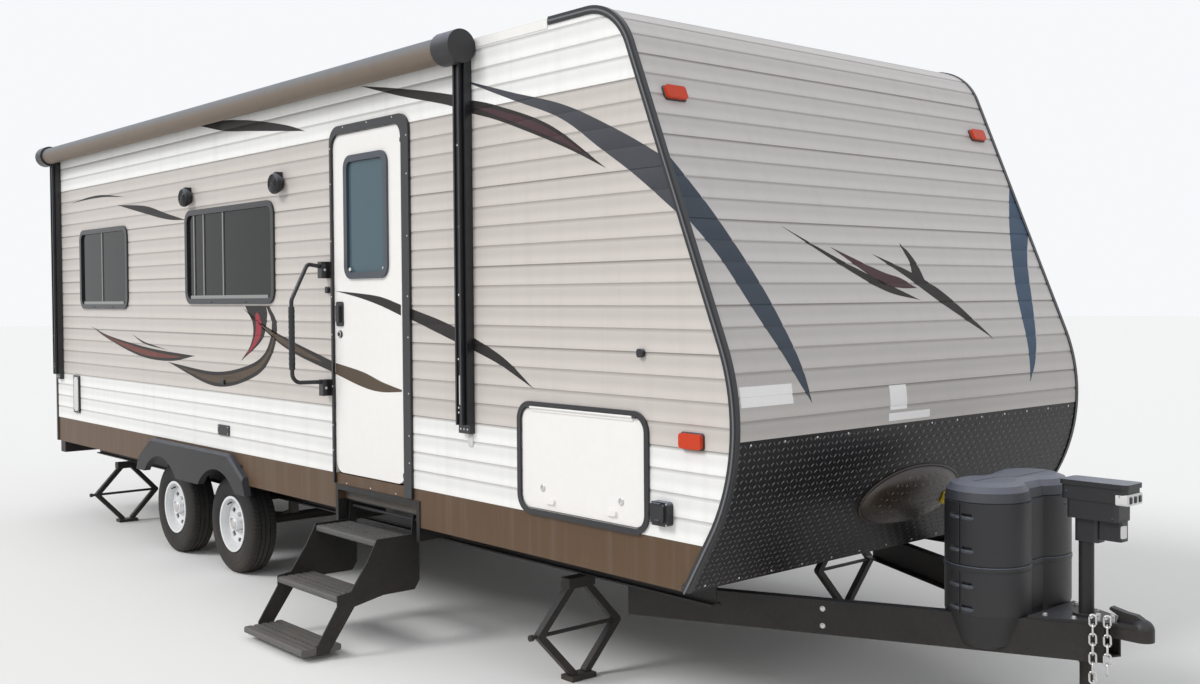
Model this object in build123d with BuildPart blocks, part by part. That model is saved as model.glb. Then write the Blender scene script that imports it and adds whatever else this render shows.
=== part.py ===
"""Tandem-axle travel caravan: ribbed sheets on a steel frame with an A-shaped tongue.

Places are in millimetres from the rear wall (x), the centre line (y, left positive) and the
ground (z). Every piece is saved about the centre of the hitch ball.
"""
import os
from math import atan2, cos, radians, sin, tan

from build123d import *

os.makedirs("parts", exist_ok=True)

# hitch ball
BALL_X = 8265
BALL_Z = 450
BALL_RADIUS = 29.7

# body outline, seen from the side
HALF_WIDTH = 1219
WALL = 45
SKIRT_BOTTOM = 590
SKIRT_TOP = 778
FLOOR_BOTTOM = 640
FLOOR_TOP = 780
ROOF_TOP = 2880
ROOF_CORNER_X = 6738
ROOF_RADIUS = 280
NOSE_CORNER = (7452, 1156)
NOSE_RADIUS = 800
TOE_X = 7107
GUARD_TOP = 1177
ROOF_END_X = 6530
REAR_RADIUS = 40
INNER_HALF = HALF_WIDTH - WALL
SLOPE = atan2(NOSE_CORNER[0] - ROOF_CORNER_X, ROOF_TOP - NOSE_CORNER[1])

# limits of the space that the outlines are cut in
BEHIND_X = -100
AHEAD_X = NOSE_CORNER[0] + 150
ABOVE_Z = ROOF_TOP + 120

# ribbed outer sheets: a crease at every bead, and a narrower one where two sheets lap
SHEET = 4
BEAD = 89.1
BEADS = 4
CREASE_DEEP = 3
CREASE_UP = 5
CREASE_DOWN = 16
LAP_UP = 2
FIRST_CREASE = 23
SKIRT_INSET = 2

# clearances
RUNNING_GAP = 0.3
GAP = 5

# mouldings
TRIM_PROUD = 5
TRIM_WIDTH = 30
TRIM_EDGE = 15
TRIM_BACK_X = 6300
INSERT_MARGIN = 8
INSERT_PROUD = 1.5

# openings of the walls: low x, high x, low z, high z, corner radius
SMALL_WINDOW = (620, 1540, 1662, 2215, 60)
LARGE_WINDOW = (2580, 3775, 1697, 2256, 60)
ROAD_WINDOW = (1500, 2700, 1697, 2256, 60)
ENTRY_DOOR = (4469, 5153, SKIRT_TOP, 2570, 70)
HATCH = (6092, 6877, 795, 1235, 60)
DOOR_WINDOW = (4613, 4999, 1828, 2430, 45)
STEP_WELL = (4483, 5257, 700)

# hinges: pins just outside the wall, the door's at its front edge and the hatches' at the top
HINGE_X = ENTRY_DOOR[1] - 1
HINGE_OUT = 10
DOOR_KNUCKLE = (SKIRT_TOP + 67, ENTRY_DOOR[3] - 100)
HATCH_HINGE_Z = HATCH[3] - 1
HATCH_HINGE_OUT = 8
HATCH_KNUCKLE = (HATCH[0] + 68, HATCH[1] - 67)
PIN_RADIUS = 2.7
KNUCKLE_RADIUS = 5
KNUCKLE_END = 20
TAB_START = 3
TAB_REACH = 14

# running gear
AXLE_X = (2162, 3040)
AXLE_Z = 305
TRACK_HALF = HALF_WIDTH - 142
DRUM_RADIUS = 127
SPINDLE_RADIUS = 20
MIDDLE_X = (AXLE_X[0] + AXLE_X[1]) / 2

# frame
RAIL_Y = HALF_WIDTH - 319
RAIL_WIDTH = 60
RAIL_BOTTOM = 460
RAIL_FRONT_X = BALL_X - 1315
TONGUE_ANGLE = 25
TONGUE_HEIGHT = 140
TONGUE_WIDTH = 50
TONGUE_WEB = 6
TONGUE_REAR_X = RAIL_FRONT_X - 550
TONGUE_FRONT_X = BALL_X - 115
TONGUE_MEET_X = BALL_X + 23
JACK_X = BALL_X - 220
JACK_RADIUS = 28.5


def save(shape, name):
    """Moves a piece from the ground frame to the hitch ball and writes it."""
    piece = shape.moved(Location((-BALL_X, 0, -BALL_Z)))
    piece.label = name
    export_step(piece, f"parts/{name}.step")


def across(y):
    """A plane seen from the door side: local x forward, local y up, extrudes to the right."""
    return Plane.XZ.offset(-y)


def panel(first, second, mode=Mode.ADD):
    """A rectangle from its limits along the two directions of the sketch that is open."""
    with Locations(((first[0] + first[1]) / 2, (second[0] + second[1]) / 2)):
        Rectangle(abs(first[1] - first[0]), abs(second[1] - second[0]), mode=mode)


def block(x, y, z):
    """A box from its low and high x, y and z."""
    with BuildPart() as body:
        with BuildSketch(Plane.XY.offset(z[0])):
            panel(x, y)
        extrude(amount=z[1] - z[0])
    return body.part


def rounded(place, grow=0.0):
    """A rounded rectangle over an opening of the table, grown by an amount."""
    low_x, high_x, low_z, high_z, radius = place
    with BuildSketch() as face:
        with Locations(((low_x + high_x) / 2, (low_z + high_z) / 2)):
            RectangleRounded(high_x - low_x + 2 * grow, high_z - low_z + 2 * grow, radius + grow)
    return face.sketch


def outline(grow=0.0):
    """The body's side outline: flat roof, raked front, bulging nose that tucks under."""
    with BuildSketch() as face:
        with BuildLine():
            Polyline(
                (0, SKIRT_BOTTOM), (0, ROOF_TOP), (ROOF_CORNER_X, ROOF_TOP), NOSE_CORNER,
                (TOE_X, SKIRT_BOTTOM), close=True)
        make_face()
        # columns: corner x, corner z, radius
        for x, z, radius in ((*NOSE_CORNER, NOSE_RADIUS), (ROOF_CORNER_X, ROOF_TOP, ROOF_RADIUS),
                             (0, ROOF_TOP, REAR_RADIUS)):
            fillet(face.vertices().sort_by_distance((x, z, 0))[0], radius)
        if grow:
            offset(amount=grow, kind=Kind.INTERSECTION)
    return face.sketch


def band(outer, inner, x, z, half):
    """A strip between two outlines inside a window of x and z, as wide as twice a half width."""
    with BuildPart() as body:
        with BuildSketch(across(half)):
            add(outline(outer))
            add(outline(inner), mode=Mode.SUBTRACT)
            panel(x, z, Mode.INTERSECT)
        extrude(amount=2 * half)
    return body.part


def strip(outer, inner, y):
    """A strip between two outlines round the front of a side, from one y to a higher one."""
    with BuildPart() as body:
        with BuildSketch(across(y[1])):
            add(outline(outer))
            add(outline(inner), mode=Mode.SUBTRACT)
            panel((TRIM_BACK_X, AHEAD_X), (SKIRT_BOTTOM, ABOVE_Z), Mode.INTERSECT)
            panel((TRIM_BACK_X, TOE_X - TRIM_WIDTH), (SKIRT_BOTTOM, SKIRT_TOP), Mode.SUBTRACT)
        extrude(amount=y[1] - y[0])
    return body.part


def outward(side, start, end):
    """Low and high y of a layer that lies between two distances from a side wall's face."""
    return sorted((side * (HALF_WIDTH + start), side * (HALF_WIDTH + end)))


def side_layer(y, z, grow, openings=(), cuts=()):
    """A flat layer of a side between two heights, with rounded openings and square cuts."""
    with BuildPart() as body:
        with BuildSketch(across(y[1])):
            add(outline(grow))
            panel((BEHIND_X, AHEAD_X), z, Mode.INTERSECT)
            for place in openings:
                add(rounded(place), mode=Mode.SUBTRACT)
            for low_x, high_x, low_z, high_z in cuts:
                panel((low_x, high_x), (low_z, high_z), Mode.SUBTRACT)
        extrude(amount=y[1] - y[0])
    return body.part


# Floor: joists and deck as one slab
save(block((WALL, TOE_X - 25), (-INNER_HALF, INNER_HALF), (FLOOR_BOTTOM, FLOOR_TOP)), "floor")

# Roof: decking between the side walls, and a top sheet that runs over them
SKIN_HALF = HALF_WIDTH - SHEET - RUNNING_GAP
ROOF_WINDOW = ((WALL, ROOF_END_X), (ROOF_TOP - 2 * WALL, ABOVE_Z))
save(band(-SHEET, -WALL, *ROOF_WINDOW, INNER_HALF) + band(0, -SHEET, *ROOF_WINDOW, SKIN_HALF), "roof")

# Front wall over the raked face, and the tread-plate guard below it
FRONT_WINDOW = ((ROOF_END_X, AHEAD_X), (GUARD_TOP, ABOVE_Z))
GUARD_WINDOW = ((TOE_X - 107, AHEAD_X), (SKIRT_BOTTOM, GUARD_TOP))
save(band(-SHEET, -WALL, *FRONT_WINDOW, INNER_HALF), "wall_front")
guard = band(-SHEET, -WALL, *GUARD_WINDOW, INNER_HALF) + band(0, -SHEET, *GUARD_WINDOW, SKIN_HALF)
save(guard, "stone_guard")

# Rear wall
REAR_WINDOW = ((BEHIND_X, WALL), (SKIRT_BOTTOM, ABOVE_Z))
save(band(-SHEET, -WALL, *REAR_WINDOW, INNER_HALF), "wall_rear")

# Side walls, with the windows, the entry door and the hatches cut
DOOR_FOOT = (ENTRY_DOOR[0], ENTRY_DOOR[1], SKIRT_TOP - 1, SKIRT_TOP + 2 * ENTRY_DOOR[4])
WALL_Z = (SKIRT_TOP, ROOF_TOP)
# columns: side, openings, cuts, name
sides = (
    (-1, (SMALL_WINDOW, LARGE_WINDOW, ENTRY_DOOR, HATCH), (DOOR_FOOT,), "wall_door_side"),
    (1, (ROAD_WINDOW, HATCH), (), "wall_road_side"),
)
for side, openings, cuts, name in sides:
    save(side_layer(outward(side, -WALL, -SHEET), WALL_Z, -SHEET, openings, cuts), name)

# Skirts below the walls, open at the wheels and at the step
WHEEL_WELL_HALF = 732
WHEEL_CUT = (MIDDLE_X - WHEEL_WELL_HALF, MIDDLE_X + WHEEL_WELL_HALF, SKIRT_BOTTOM - 1, AXLE_Z + 400)
WELL_CUT = (STEP_WELL[0], STEP_WELL[1], SKIRT_BOTTOM - 1, STEP_WELL[2])
SKIRT_Z = (SKIRT_BOTTOM, SKIRT_TOP)
skirts = []
for side, cuts in ((-1, (WHEEL_CUT, WELL_CUT)), (1, (WHEEL_CUT,))):
    board = side_layer(outward(side, -WALL, -SHEET), SKIRT_Z, -SHEET, (), cuts)
    face = side_layer(outward(side, -SHEET, -SKIRT_INSET), SKIRT_Z, 0, (), cuts)
    skirts.append(board + face)
save(Compound(children=skirts), "skirts")


# Ribbed sheets over the walls: rolled creases that lap downwards
def creased(low, high, face, inward):
    """Points of a ribbed sheet's section, from its low edge up its face and down its back."""
    points = [(face, low)]
    for row in range(1, int((high - low - CREASE_UP) / BEAD) + 1):
        level = low + row * BEAD
        up = CREASE_UP if row % BEADS else LAP_UP
        crease = (face + inward * CREASE_DEEP, level)
        points += [(face, level - CREASE_DOWN), crease, (face, level + up)]
    return points + [(face, high), (face + inward * SHEET, high), (face + inward * SHEET, low)]


def side_sheet(side, openings, cuts):
    """The ribbed sheet of a side, trimmed to the outline and its openings."""
    with BuildPart() as body:
        with BuildSketch(Plane.YZ.offset(BEHIND_X)):
            with BuildLine():
                Polyline(*creased(SKIRT_TOP, ROOF_TOP + 1, side * HALF_WIDTH, -side), close=True)
            make_face()
        extrude(amount=AHEAD_X - BEHIND_X)
        add(side_layer(outward(side, -2 * SHEET, SHEET), WALL_Z, 0, openings, cuts), mode=Mode.INTERSECT)
    return body.part


def rear_sheet():
    """The ribbed sheet of the rear, with its rounded top."""
    with BuildPart() as body:
        with BuildSketch(across(SKIN_HALF)):
            with BuildLine():
                Polyline(*creased(SKIRT_BOTTOM, ROOF_TOP - REAR_RADIUS, 0, 1), close=True)
            make_face()
        extrude(amount=2 * SKIN_HALF)
        add(band(0, -SHEET, (BEHIND_X, WALL), (ROOF_TOP - REAR_RADIUS, ABOVE_Z), SKIN_HALF))
    return body.part


def front_creases():
    """Places and downward headings of the front's creases, from the roof down to the guard."""
    edges = outline().edges().filter_by(lambda e: e.center().X > ROOF_END_X)
    places = []
    travelled = FIRST_CREASE
    for edge in edges.sort_by(Axis.Y, reverse=True):
        rising = (edge @ 0).Y < (edge @ 1).Y
        while travelled < edge.length:
            share = travelled / edge.length
            spot = edge @ (1 - share if rising else share)
            heading = edge % (1 - share if rising else share)
            if spot.Y > GUARD_TOP + CREASE_DOWN:
                places.append((spot, heading if heading.Y < 0 else heading * -1))
            travelled += BEAD
        travelled -= edge.length
    return places


def front_sheet():
    """The ribbed sheet of the raked front and the upper nose."""
    with BuildPart() as body:
        with BuildSketch(across(SKIN_HALF)):
            add(outline())
            add(outline(-SHEET), mode=Mode.SUBTRACT)
            panel(*FRONT_WINDOW, Mode.INTERSECT)
            for row, (spot, heading) in enumerate(front_creases()):
                inward = Vector(heading.Y, -heading.X) * CREASE_DEEP
                up = CREASE_UP if row % BEADS else LAP_UP
                with BuildLine():
                    Polyline(
                        spot - heading * up * 1.2 - inward * 0.2, spot + inward,
                        spot + heading * CREASE_DOWN * 1.2 - inward * 0.2, close=True)
                make_face(mode=Mode.SUBTRACT)
        extrude(amount=2 * SKIN_HALF)
    return body.part


siding = [side_sheet(side, openings, cuts) for side, openings, cuts, _ in sides]
save(Compound(children=siding + [rear_sheet(), front_sheet()]), "siding")


# Corner mouldings: an angle round the front of each side and up each rear corner, with an insert
def corner_angle(side):
    """The front angle of a side: a flange on the sheet, an edge over the front, and the insert."""
    flange = strip(TRIM_PROUD, -TRIM_WIDTH, outward(side, 0, TRIM_PROUD))
    edge = strip(TRIM_PROUD, RUNNING_GAP, outward(side, -TRIM_EDGE, 0))
    insert = strip(TRIM_PROUD - INSERT_MARGIN, INSERT_MARGIN - TRIM_WIDTH,
                   outward(side, TRIM_PROUD, TRIM_PROUD + INSERT_PROUD))
    return flange + edge + insert


def rear_angle(side):
    """The rear angle of a side."""
    z = (SKIRT_BOTTOM, ROOF_TOP - REAR_RADIUS)
    flange = block((-TRIM_PROUD, TRIM_WIDTH), outward(side, 0, TRIM_PROUD), z)
    edge = block((-TRIM_PROUD, -RUNNING_GAP), outward(side, -TRIM_WIDTH, 0), z)
    insert = block((INSERT_MARGIN - TRIM_PROUD, TRIM_WIDTH - INSERT_MARGIN),
                   outward(side, TRIM_PROUD, TRIM_PROUD + INSERT_PROUD), z)
    return flange + edge + insert


angles = [make(side) for side in (-1, 1) for make in (corner_angle, rear_angle)]
save(Compound(children=angles), "corner_mouldings")

# Window frames: a flange on the sheet and a sleeve through the wall
FLANGE = 20
FLANGE_THICK = 12
SLEEVE = 14
PANE_THICK = 6
PANE_BACK = 2


def ring_frame(place, side):
    """A rounded frame whose flange lies on the wall and whose sleeve runs through it."""
    with BuildPart() as body:
        # columns: how far the ring is grown, its layer
        for grow, layer in ((FLANGE, (0, FLANGE_THICK)), (-RUNNING_GAP, (-WALL, 0))):
            y = outward(side, *layer)
            with BuildSketch(across(y[1])):
                add(rounded(place, grow))
                add(rounded(place, -SLEEVE), mode=Mode.SUBTRACT)
            extrude(amount=y[1] - y[0])
    return body.part


def layer_plate(place, grow, side, start, end):
    """A rounded plate over an opening, between two distances from the wall's face."""
    y = outward(side, start, end)
    with BuildPart() as body:
        with BuildSketch(across(y[1])):
            add(rounded(place, grow))
        extrude(amount=y[1] - y[0])
    return body.part


def pane(place, side):
    """A glass pane that stands in its frame's sleeve."""
    return layer_plate(place, -SLEEVE - RUNNING_GAP, side, -PANE_BACK - PANE_THICK, -PANE_BACK)


# columns: opening, side, shares of its width where an upright bar stands
WINDOWS = ((SMALL_WINDOW, -1, (0.47,)), (LARGE_WINDOW, -1, (0.09, 0.21, 0.446)), (ROAD_WINDOW, 1, (0.5,)))
save(Compound(children=[ring_frame(place, side) for place, side, _ in WINDOWS]), "window_frames")
save(Compound(children=[pane(place, side) for place, side, _ in WINDOWS]), "window_panes")

# Window sashes: slim bars over the panes, on a sill at the foot of each frame
BAR_WIDTH = 14
SILL_HEIGHT = 20
CLEAR_IN = SLEEVE + RUNNING_GAP
sashes = []
for place, side, shares in WINDOWS:
    low_x, high_x, low_z, high_z, radius = place
    bar_y = outward(side, RUNNING_GAP - PANE_BACK, 4)
    sill_y = outward(side, RUNNING_GAP - PANE_BACK, 8)
    foot_z = low_z + CLEAR_IN
    sash = block((low_x + radius, high_x - radius), sill_y, (foot_z, foot_z + SILL_HEIGHT))
    for share in shares:
        x = low_x + share * (high_x - low_x)
        sash += block((x - BAR_WIDTH / 2, x + BAR_WIDTH / 2), bar_y, (foot_z, high_z - CLEAR_IN))
    sashes.append(sash)
save(Compound(children=sashes), "window_sashes")

# Door frame: a raised flange round the doorway, wide at the hinge and the head
LATCH_FLANGE = 16
HINGE_FLANGE = 70
HEAD_FLANGE = 42
FRAME_FOOT = STEP_WELL[2] + 25
FRAME_THICK = 14
DOORWAY = (ENTRY_DOOR[0] - 0.5, ENTRY_DOOR[1] + 0.5)
FRAME_PLACE = (ENTRY_DOOR[0] - LATCH_FLANGE, ENTRY_DOOR[1] + HINGE_FLANGE, FRAME_FOOT - ENTRY_DOOR[4] - 20,
               ENTRY_DOOR[3] + HEAD_FLANGE, ENTRY_DOOR[4] + LATCH_FLANGE)


def knuckle_rows(low, high):
    """A frame's share of a hinge. Columns: start, end, radius, cut or added."""
    return (
        (low - 2, high + 2, KNUCKLE_RADIUS + 2, Mode.SUBTRACT),
        (low - 7, high + 7, PIN_RADIUS, Mode.ADD),
        (low - 2 - KNUCKLE_END, low - 3, KNUCKLE_RADIUS, Mode.ADD),
        (high + 3, high + 2 + KNUCKLE_END, KNUCKLE_RADIUS, Mode.ADD),
    )


with BuildPart() as door_frame:
    with BuildSketch(across(-HALF_WIDTH)):
        add(rounded(FRAME_PLACE))
        add(rounded(ENTRY_DOOR, 0.5), mode=Mode.SUBTRACT)
        panel(DOORWAY, (FRAME_PLACE[2] - 1, SKIRT_TOP + ENTRY_DOOR[4] + 1), Mode.SUBTRACT)
        panel((FRAME_PLACE[0] - 1, FRAME_PLACE[1] + 1), (FRAME_PLACE[2] - 1, FRAME_FOOT), Mode.SUBTRACT)
    extrude(amount=FRAME_THICK)
    for low, high, radius, mode in knuckle_rows(*DOOR_KNUCKLE):
        with BuildSketch(Plane.XY.offset(low)):
            with Locations((HINGE_X, -HALF_WIDTH - HINGE_OUT)):
                Circle(radius)
        extrude(amount=high - low, mode=mode)
save(door_frame.part, "door_frame")

# Entry door: a leaf as thick as the wall with its window cut
LEAF = (ENTRY_DOOR[0] + GAP, ENTRY_DOOR[1] - GAP, SKIRT_TOP + 7, ENTRY_DOOR[3] - GAP, ENTRY_DOOR[4] - GAP)
with BuildPart() as door_leaf:
    with BuildSketch(across(-INNER_HALF)):
        add(rounded(LEAF))
        add(rounded(DOOR_WINDOW), mode=Mode.SUBTRACT)
    extrude(amount=WALL)
    with BuildSketch(Plane.XY.offset(DOOR_KNUCKLE[0])):
        with Locations((HINGE_X, -HALF_WIDTH - HINGE_OUT)):
            Circle(KNUCKLE_RADIUS)
        panel((HINGE_X - 2 - TAB_REACH, HINGE_X - 2), (-HALF_WIDTH - HINGE_OUT + TAB_START, -HALF_WIDTH))
        with Locations((HINGE_X, -HALF_WIDTH - HINGE_OUT)):
            Circle(PIN_RADIUS + RUNNING_GAP, mode=Mode.SUBTRACT)
    extrude(amount=DOOR_KNUCKLE[1] - DOOR_KNUCKLE[0])
save(door_leaf.part, "door_leaf")
save(ring_frame(DOOR_WINDOW, -1), "door_window_frame")
save(pane(DOOR_WINDOW, -1), "door_pane")

# Door lock: a pull handle in a plate, with a round bolt below it
LOCK_X = ENTRY_DOOR[0] + 63
# columns: half width, low z, high z, corner radius, how far it stands out
LOCK_PLATES = ((34, 1560, 1690, 12, 8), (17, 1582, 1672, 8, 22),
               (19, 1500, 1538, 18, 6), (11, 1508, 1530, 10, 14))
lock = [layer_plate((LOCK_X - half, LOCK_X + half, low, high, radius), 0, -1, RUNNING_GAP, out)
        for half, low, high, radius, out in LOCK_PLATES]
save(Compound(children=[lock[0] + lock[1], lock[2] + lock[3]]), "door_lock")

# Grab handle: a folding tube on two clamp blocks beside the door, with a thick grip
HANDLE_X = 4410
HANDLE_RADIUS = 11
GRIP_RADIUS = 16
GRIP_OUT = 221
CLAMP_OUT = 46
# columns: how far out from the wall, height
HANDLE_ROUTE = ((CLAMP_OUT, 1878), (126, 1890), (GRIP_OUT, 1700), (GRIP_OUT, 1266), (CLAMP_OUT, 1262))
with BuildPart() as grab_handle:
    with BuildLine() as route:
        FilletPolyline(*[(HANDLE_X, -HALF_WIDTH - out, z) for out, z in HANDLE_ROUTE], radius=(28, 60, 50))
    with BuildSketch(Plane(origin=route.line @ 0, z_dir=route.line % 0)):
        Circle(HANDLE_RADIUS)
    sweep()
    with BuildSketch(Plane.XY.offset(1335)):
        with Locations((HANDLE_X, -HALF_WIDTH - GRIP_OUT)):
            Circle(GRIP_RADIUS)
    extrude(amount=330)
clamps = [block((HANDLE_X - 22, HANDLE_X + 22), outward(-1, RUNNING_GAP, CLAMP_OUT + 8), (low, high))
          for low, high in ((1815, 1904), (1188, 1275))]
save(grab_handle.part + clamps[0] + clamps[1], "grab_handle")

# Hatch frames and the two hatch doors, hinged along their top edges
HATCH_FRAME = 24
HATCH_FRAME_THICK = 10
hatch_frames = []
for side in (-1, 1):
    y = outward(side, 0, HATCH_FRAME_THICK)
    with BuildPart() as hatch_frame:
        with BuildSketch(across(y[1])):
            add(rounded(HATCH, HATCH_FRAME))
            add(rounded(HATCH, 0.5), mode=Mode.SUBTRACT)
        extrude(amount=HATCH_FRAME_THICK)
        for low, high, radius, mode in knuckle_rows(*HATCH_KNUCKLE):
            with BuildSketch(Plane.YZ.offset(low)):
                with Locations((side * (HALF_WIDTH + HATCH_HINGE_OUT), HATCH_HINGE_Z)):
                    Circle(radius)
            extrude(amount=high - low, mode=mode)
    hatch_frames.append(hatch_frame.part)
save(Compound(children=hatch_frames), "hatch_frames")

HATCH_LEAF = (HATCH[0] + GAP, HATCH[1] - GAP, HATCH[2] + GAP, HATCH[3] - GAP, HATCH[4] - GAP)
LATCH_OUT = 12
for side, name in ((-1, "hatch_door_side"), (1, "hatch_road_side")):
    y = outward(side, -WALL, 0)
    latch_y = outward(side, 0, LATCH_OUT)
    with BuildPart() as hatch:
        with BuildSketch(across(y[1])):
            add(rounded(HATCH_LEAF))
        extrude(amount=WALL)
        # two thumb latches at the foot
        with BuildSketch(across(latch_y[1])):
            with Locations(*[(HATCH[0] + reach, HATCH[2] + 45) for reach in (198, 588)]):
                RectangleRounded(60, 22, 8)
        extrude(amount=LATCH_OUT)
        with BuildSketch(Plane.YZ.offset(HATCH_KNUCKLE[0])):
            with Locations((side * (HALF_WIDTH + HATCH_HINGE_OUT), HATCH_HINGE_Z)):
                Circle(KNUCKLE_RADIUS)
            panel(outward(side, 0, HATCH_HINGE_OUT - TAB_START),
                  (HATCH_HINGE_Z - 2 - TAB_REACH, HATCH_HINGE_Z - 2))
            with Locations((side * (HALF_WIDTH + HATCH_HINGE_OUT), HATCH_HINGE_Z)):
                Circle(PIN_RADIUS + RUNNING_GAP, mode=Mode.SUBTRACT)
        extrude(amount=HATCH_KNUCKLE[1] - HATCH_KNUCKLE[0])
    save(hatch.part, name)

# Fender skirts: flared surrounds with an arch over each wheel
ARCH_RADIUS = 352
FLARE = 42
FLARE_CHAMFER = 14
# columns: how far from the middle between the axles, height
FENDER_SIDE = ((845, 535), (800, 640), (600, 765))


def fender(side):
    """The flared surround of one side's two wheels."""
    y = outward(side, RUNNING_GAP - SKIRT_INSET, FLARE)
    with BuildPart() as body:
        with BuildSketch(across(y[1])):
            with BuildLine():
                Polyline(*[(MIDDLE_X - reach, z) for reach, z in FENDER_SIDE],
                         *[(MIDDLE_X + reach, z) for reach, z in reversed(FENDER_SIDE)], close=True)
            make_face()
            with Locations(*[(x, AXLE_Z) for x in AXLE_X]):
                Circle(ARCH_RADIUS, mode=Mode.SUBTRACT)
        extrude(amount=y[1] - y[0])
        front = body.faces().sort_by(Axis.Y)[0 if side < 0 else -1]
        chamfer(front.outer_wire().edges().filter_by(lambda e: e.center().Z > SKIRT_TOP - 80), FLARE_CHAMFER)
    return body.part


save(Compound(children=[fender(-1), fender(1)]), "fender_skirts")


# Outside speakers over the large window: a bowl with a dished grille, on a small bracket
def speaker(x, z):
    """A round housing turned about an axis that stands square on the wall."""
    with BuildPart() as body:
        with BuildSketch(Plane(origin=(x, -HALF_WIDTH - RUNNING_GAP, z), x_dir=(1, 0, 0), z_dir=(0, 0, 1))):
            with BuildLine():
                # columns: radius, how far back from the wall
                Polyline((0, 0), (34, 0), (44, -12), (58, -34), (58, -52), (52, -60), (46, -56), (0, -47),
                         close=True)
            make_face()
        revolve(axis=Axis((x, -HALF_WIDTH, z), (0, 1, 0)))
    return body.part + block((x - 15, x + 15), outward(-1, RUNNING_GAP, 40), (z + 35, z + 66))


SPEAKER_Z = 2357
speakers = [speaker(LARGE_WINDOW[0] + 57, SPEAKER_Z), speaker(LARGE_WINDOW[1] + 110, SPEAKER_Z)]
save(Compound(children=speakers), "speakers")

# Amber lamps on the sides and high on the front, red ones on the rear wall
LAMP_OUT = 22
LAMP_HALF_Y = HALF_WIDTH - 149
LAMP_Z = 2502


def side_lamp(x, z, side):
    """A rounded lamp on a side wall."""
    return layer_plate((x - 57, x + 57, z - 29, z + 29, 14), 0, side, RUNNING_GAP, RUNNING_GAP + LAMP_OUT)


def front_lamp(y):
    """A lamp that lies on the raked sheet."""
    surface_x = ROOF_CORNER_X + (ROOF_TOP - LAMP_Z) * tan(SLOPE) + RUNNING_GAP / cos(SLOPE)
    with BuildPart() as body:
        z_dir = (cos(SLOPE), 0, sin(SLOPE))
        with BuildSketch(Plane(origin=(surface_x, y, LAMP_Z), x_dir=(0, 1, 0), z_dir=z_dir)):
            RectangleRounded(110, 55, 12)
        extrude(amount=LAMP_OUT)
    return body.part


SIDE_LAMP = (7137, GUARD_TOP - 11)
lamps = [side_lamp(*SIDE_LAMP, side) for side in (-1, 1)]
lamps += [front_lamp(side * LAMP_HALF_Y) for side in (-1, 1)]
save(Compound(children=lamps), "marker_lamps")
TAIL_Y = HALF_WIDTH - 219
tails = [block((-30, -RUNNING_GAP), (y - 75, y + 75), (880, 1110)) for y in (-TAIL_Y, TAIL_Y)]
save(Compound(children=tails), "tail_lamps")

# Small fittings: the power outlet with its cap, the cooling grille, and vents and catches
# columns: side, low x, high x, low z, high z, radius, how far out
OUTLET = ((-1, 6937, 7030, 832, 924, 14, 34), (-1, 6948, 7019, 848, 916, 10, 44))
GRILLE = (1, 3300, 3860, 900, 1300, 18, 14)
FITTINGS = (
    (-1, 3014, 3169, 870, 933, 8, 9),
    (-1, 420, 540, 840, 1127, 10, 14),
    (-1, 3077, 3113, 1182, 1216, 12, 12),
    (-1, 6845, 6880, 1470, 1504, 12, 16),
    (-1, 4398, 4426, 1735, 1771, 10, 18),
    (1, 5050, 5400, 850, 1190, 18, 12),
    (1, 4150, 4270, 900, 1040, 14, 30),
)
GRILLE_SLOTS = 8
GRILLE_MARGIN = 45


def fitting(side, low_x, high_x, low_z, high_z, radius, out):
    """A rounded fitting that stands on a wall."""
    return layer_plate((low_x, high_x, low_z, high_z, radius), 0, side, RUNNING_GAP, out)


grille = fitting(*GRILLE)
slot_x = (GRILLE[1] + GRILLE_MARGIN, GRILLE[2] - GRILLE_MARGIN)
slot_y = outward(1, GRILLE[6] - 8, GRILLE[6] + 1)
slot_pitch = (GRILLE[4] - GRILLE[3] - 2 * GRILLE_MARGIN) / (GRILLE_SLOTS - 1)
for row in range(GRILLE_SLOTS):
    z = GRILLE[3] + GRILLE_MARGIN + row * slot_pitch
    grille -= block(slot_x, slot_y, (z - 9, z + 9))
fittings = [fitting(*OUTLET[0]) + fitting(*OUTLET[1]), grille] + [fitting(*row) for row in FITTINGS]
save(Compound(children=fittings), "wall_fittings")

# Awning: two stowed arms on the wall and the rolled fabric between them
ARM_X = ((78, 168), (5655, 5741))
ARM_FOOT_Z = 1125
ROLL_Y = -HALF_WIDTH - 81
ROLL_Z = ROOF_TOP - 45
ROLL_RADIUS = 62
CAP_RADIUS = 76
CAP_OVER = 15


def roller(x, radius):
    """A round length of the rolled awning."""
    with BuildPart() as body:
        with BuildSketch(Plane.YZ.offset(x[0])):
            with Locations((ROLL_Y, ROLL_Z)):
                Circle(radius)
        extrude(amount=x[1] - x[0])
    return body.part


# columns: shares of an arm's width where a rib starts and ends, how far out it stands
ARM_RIBS = ((0, 1, 9), (0, 0.12, 40), (0.88, 1, 40), (0.22, 0.78, 52), (0.22, 0.34, 60), (0.66, 0.78, 60))


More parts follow.
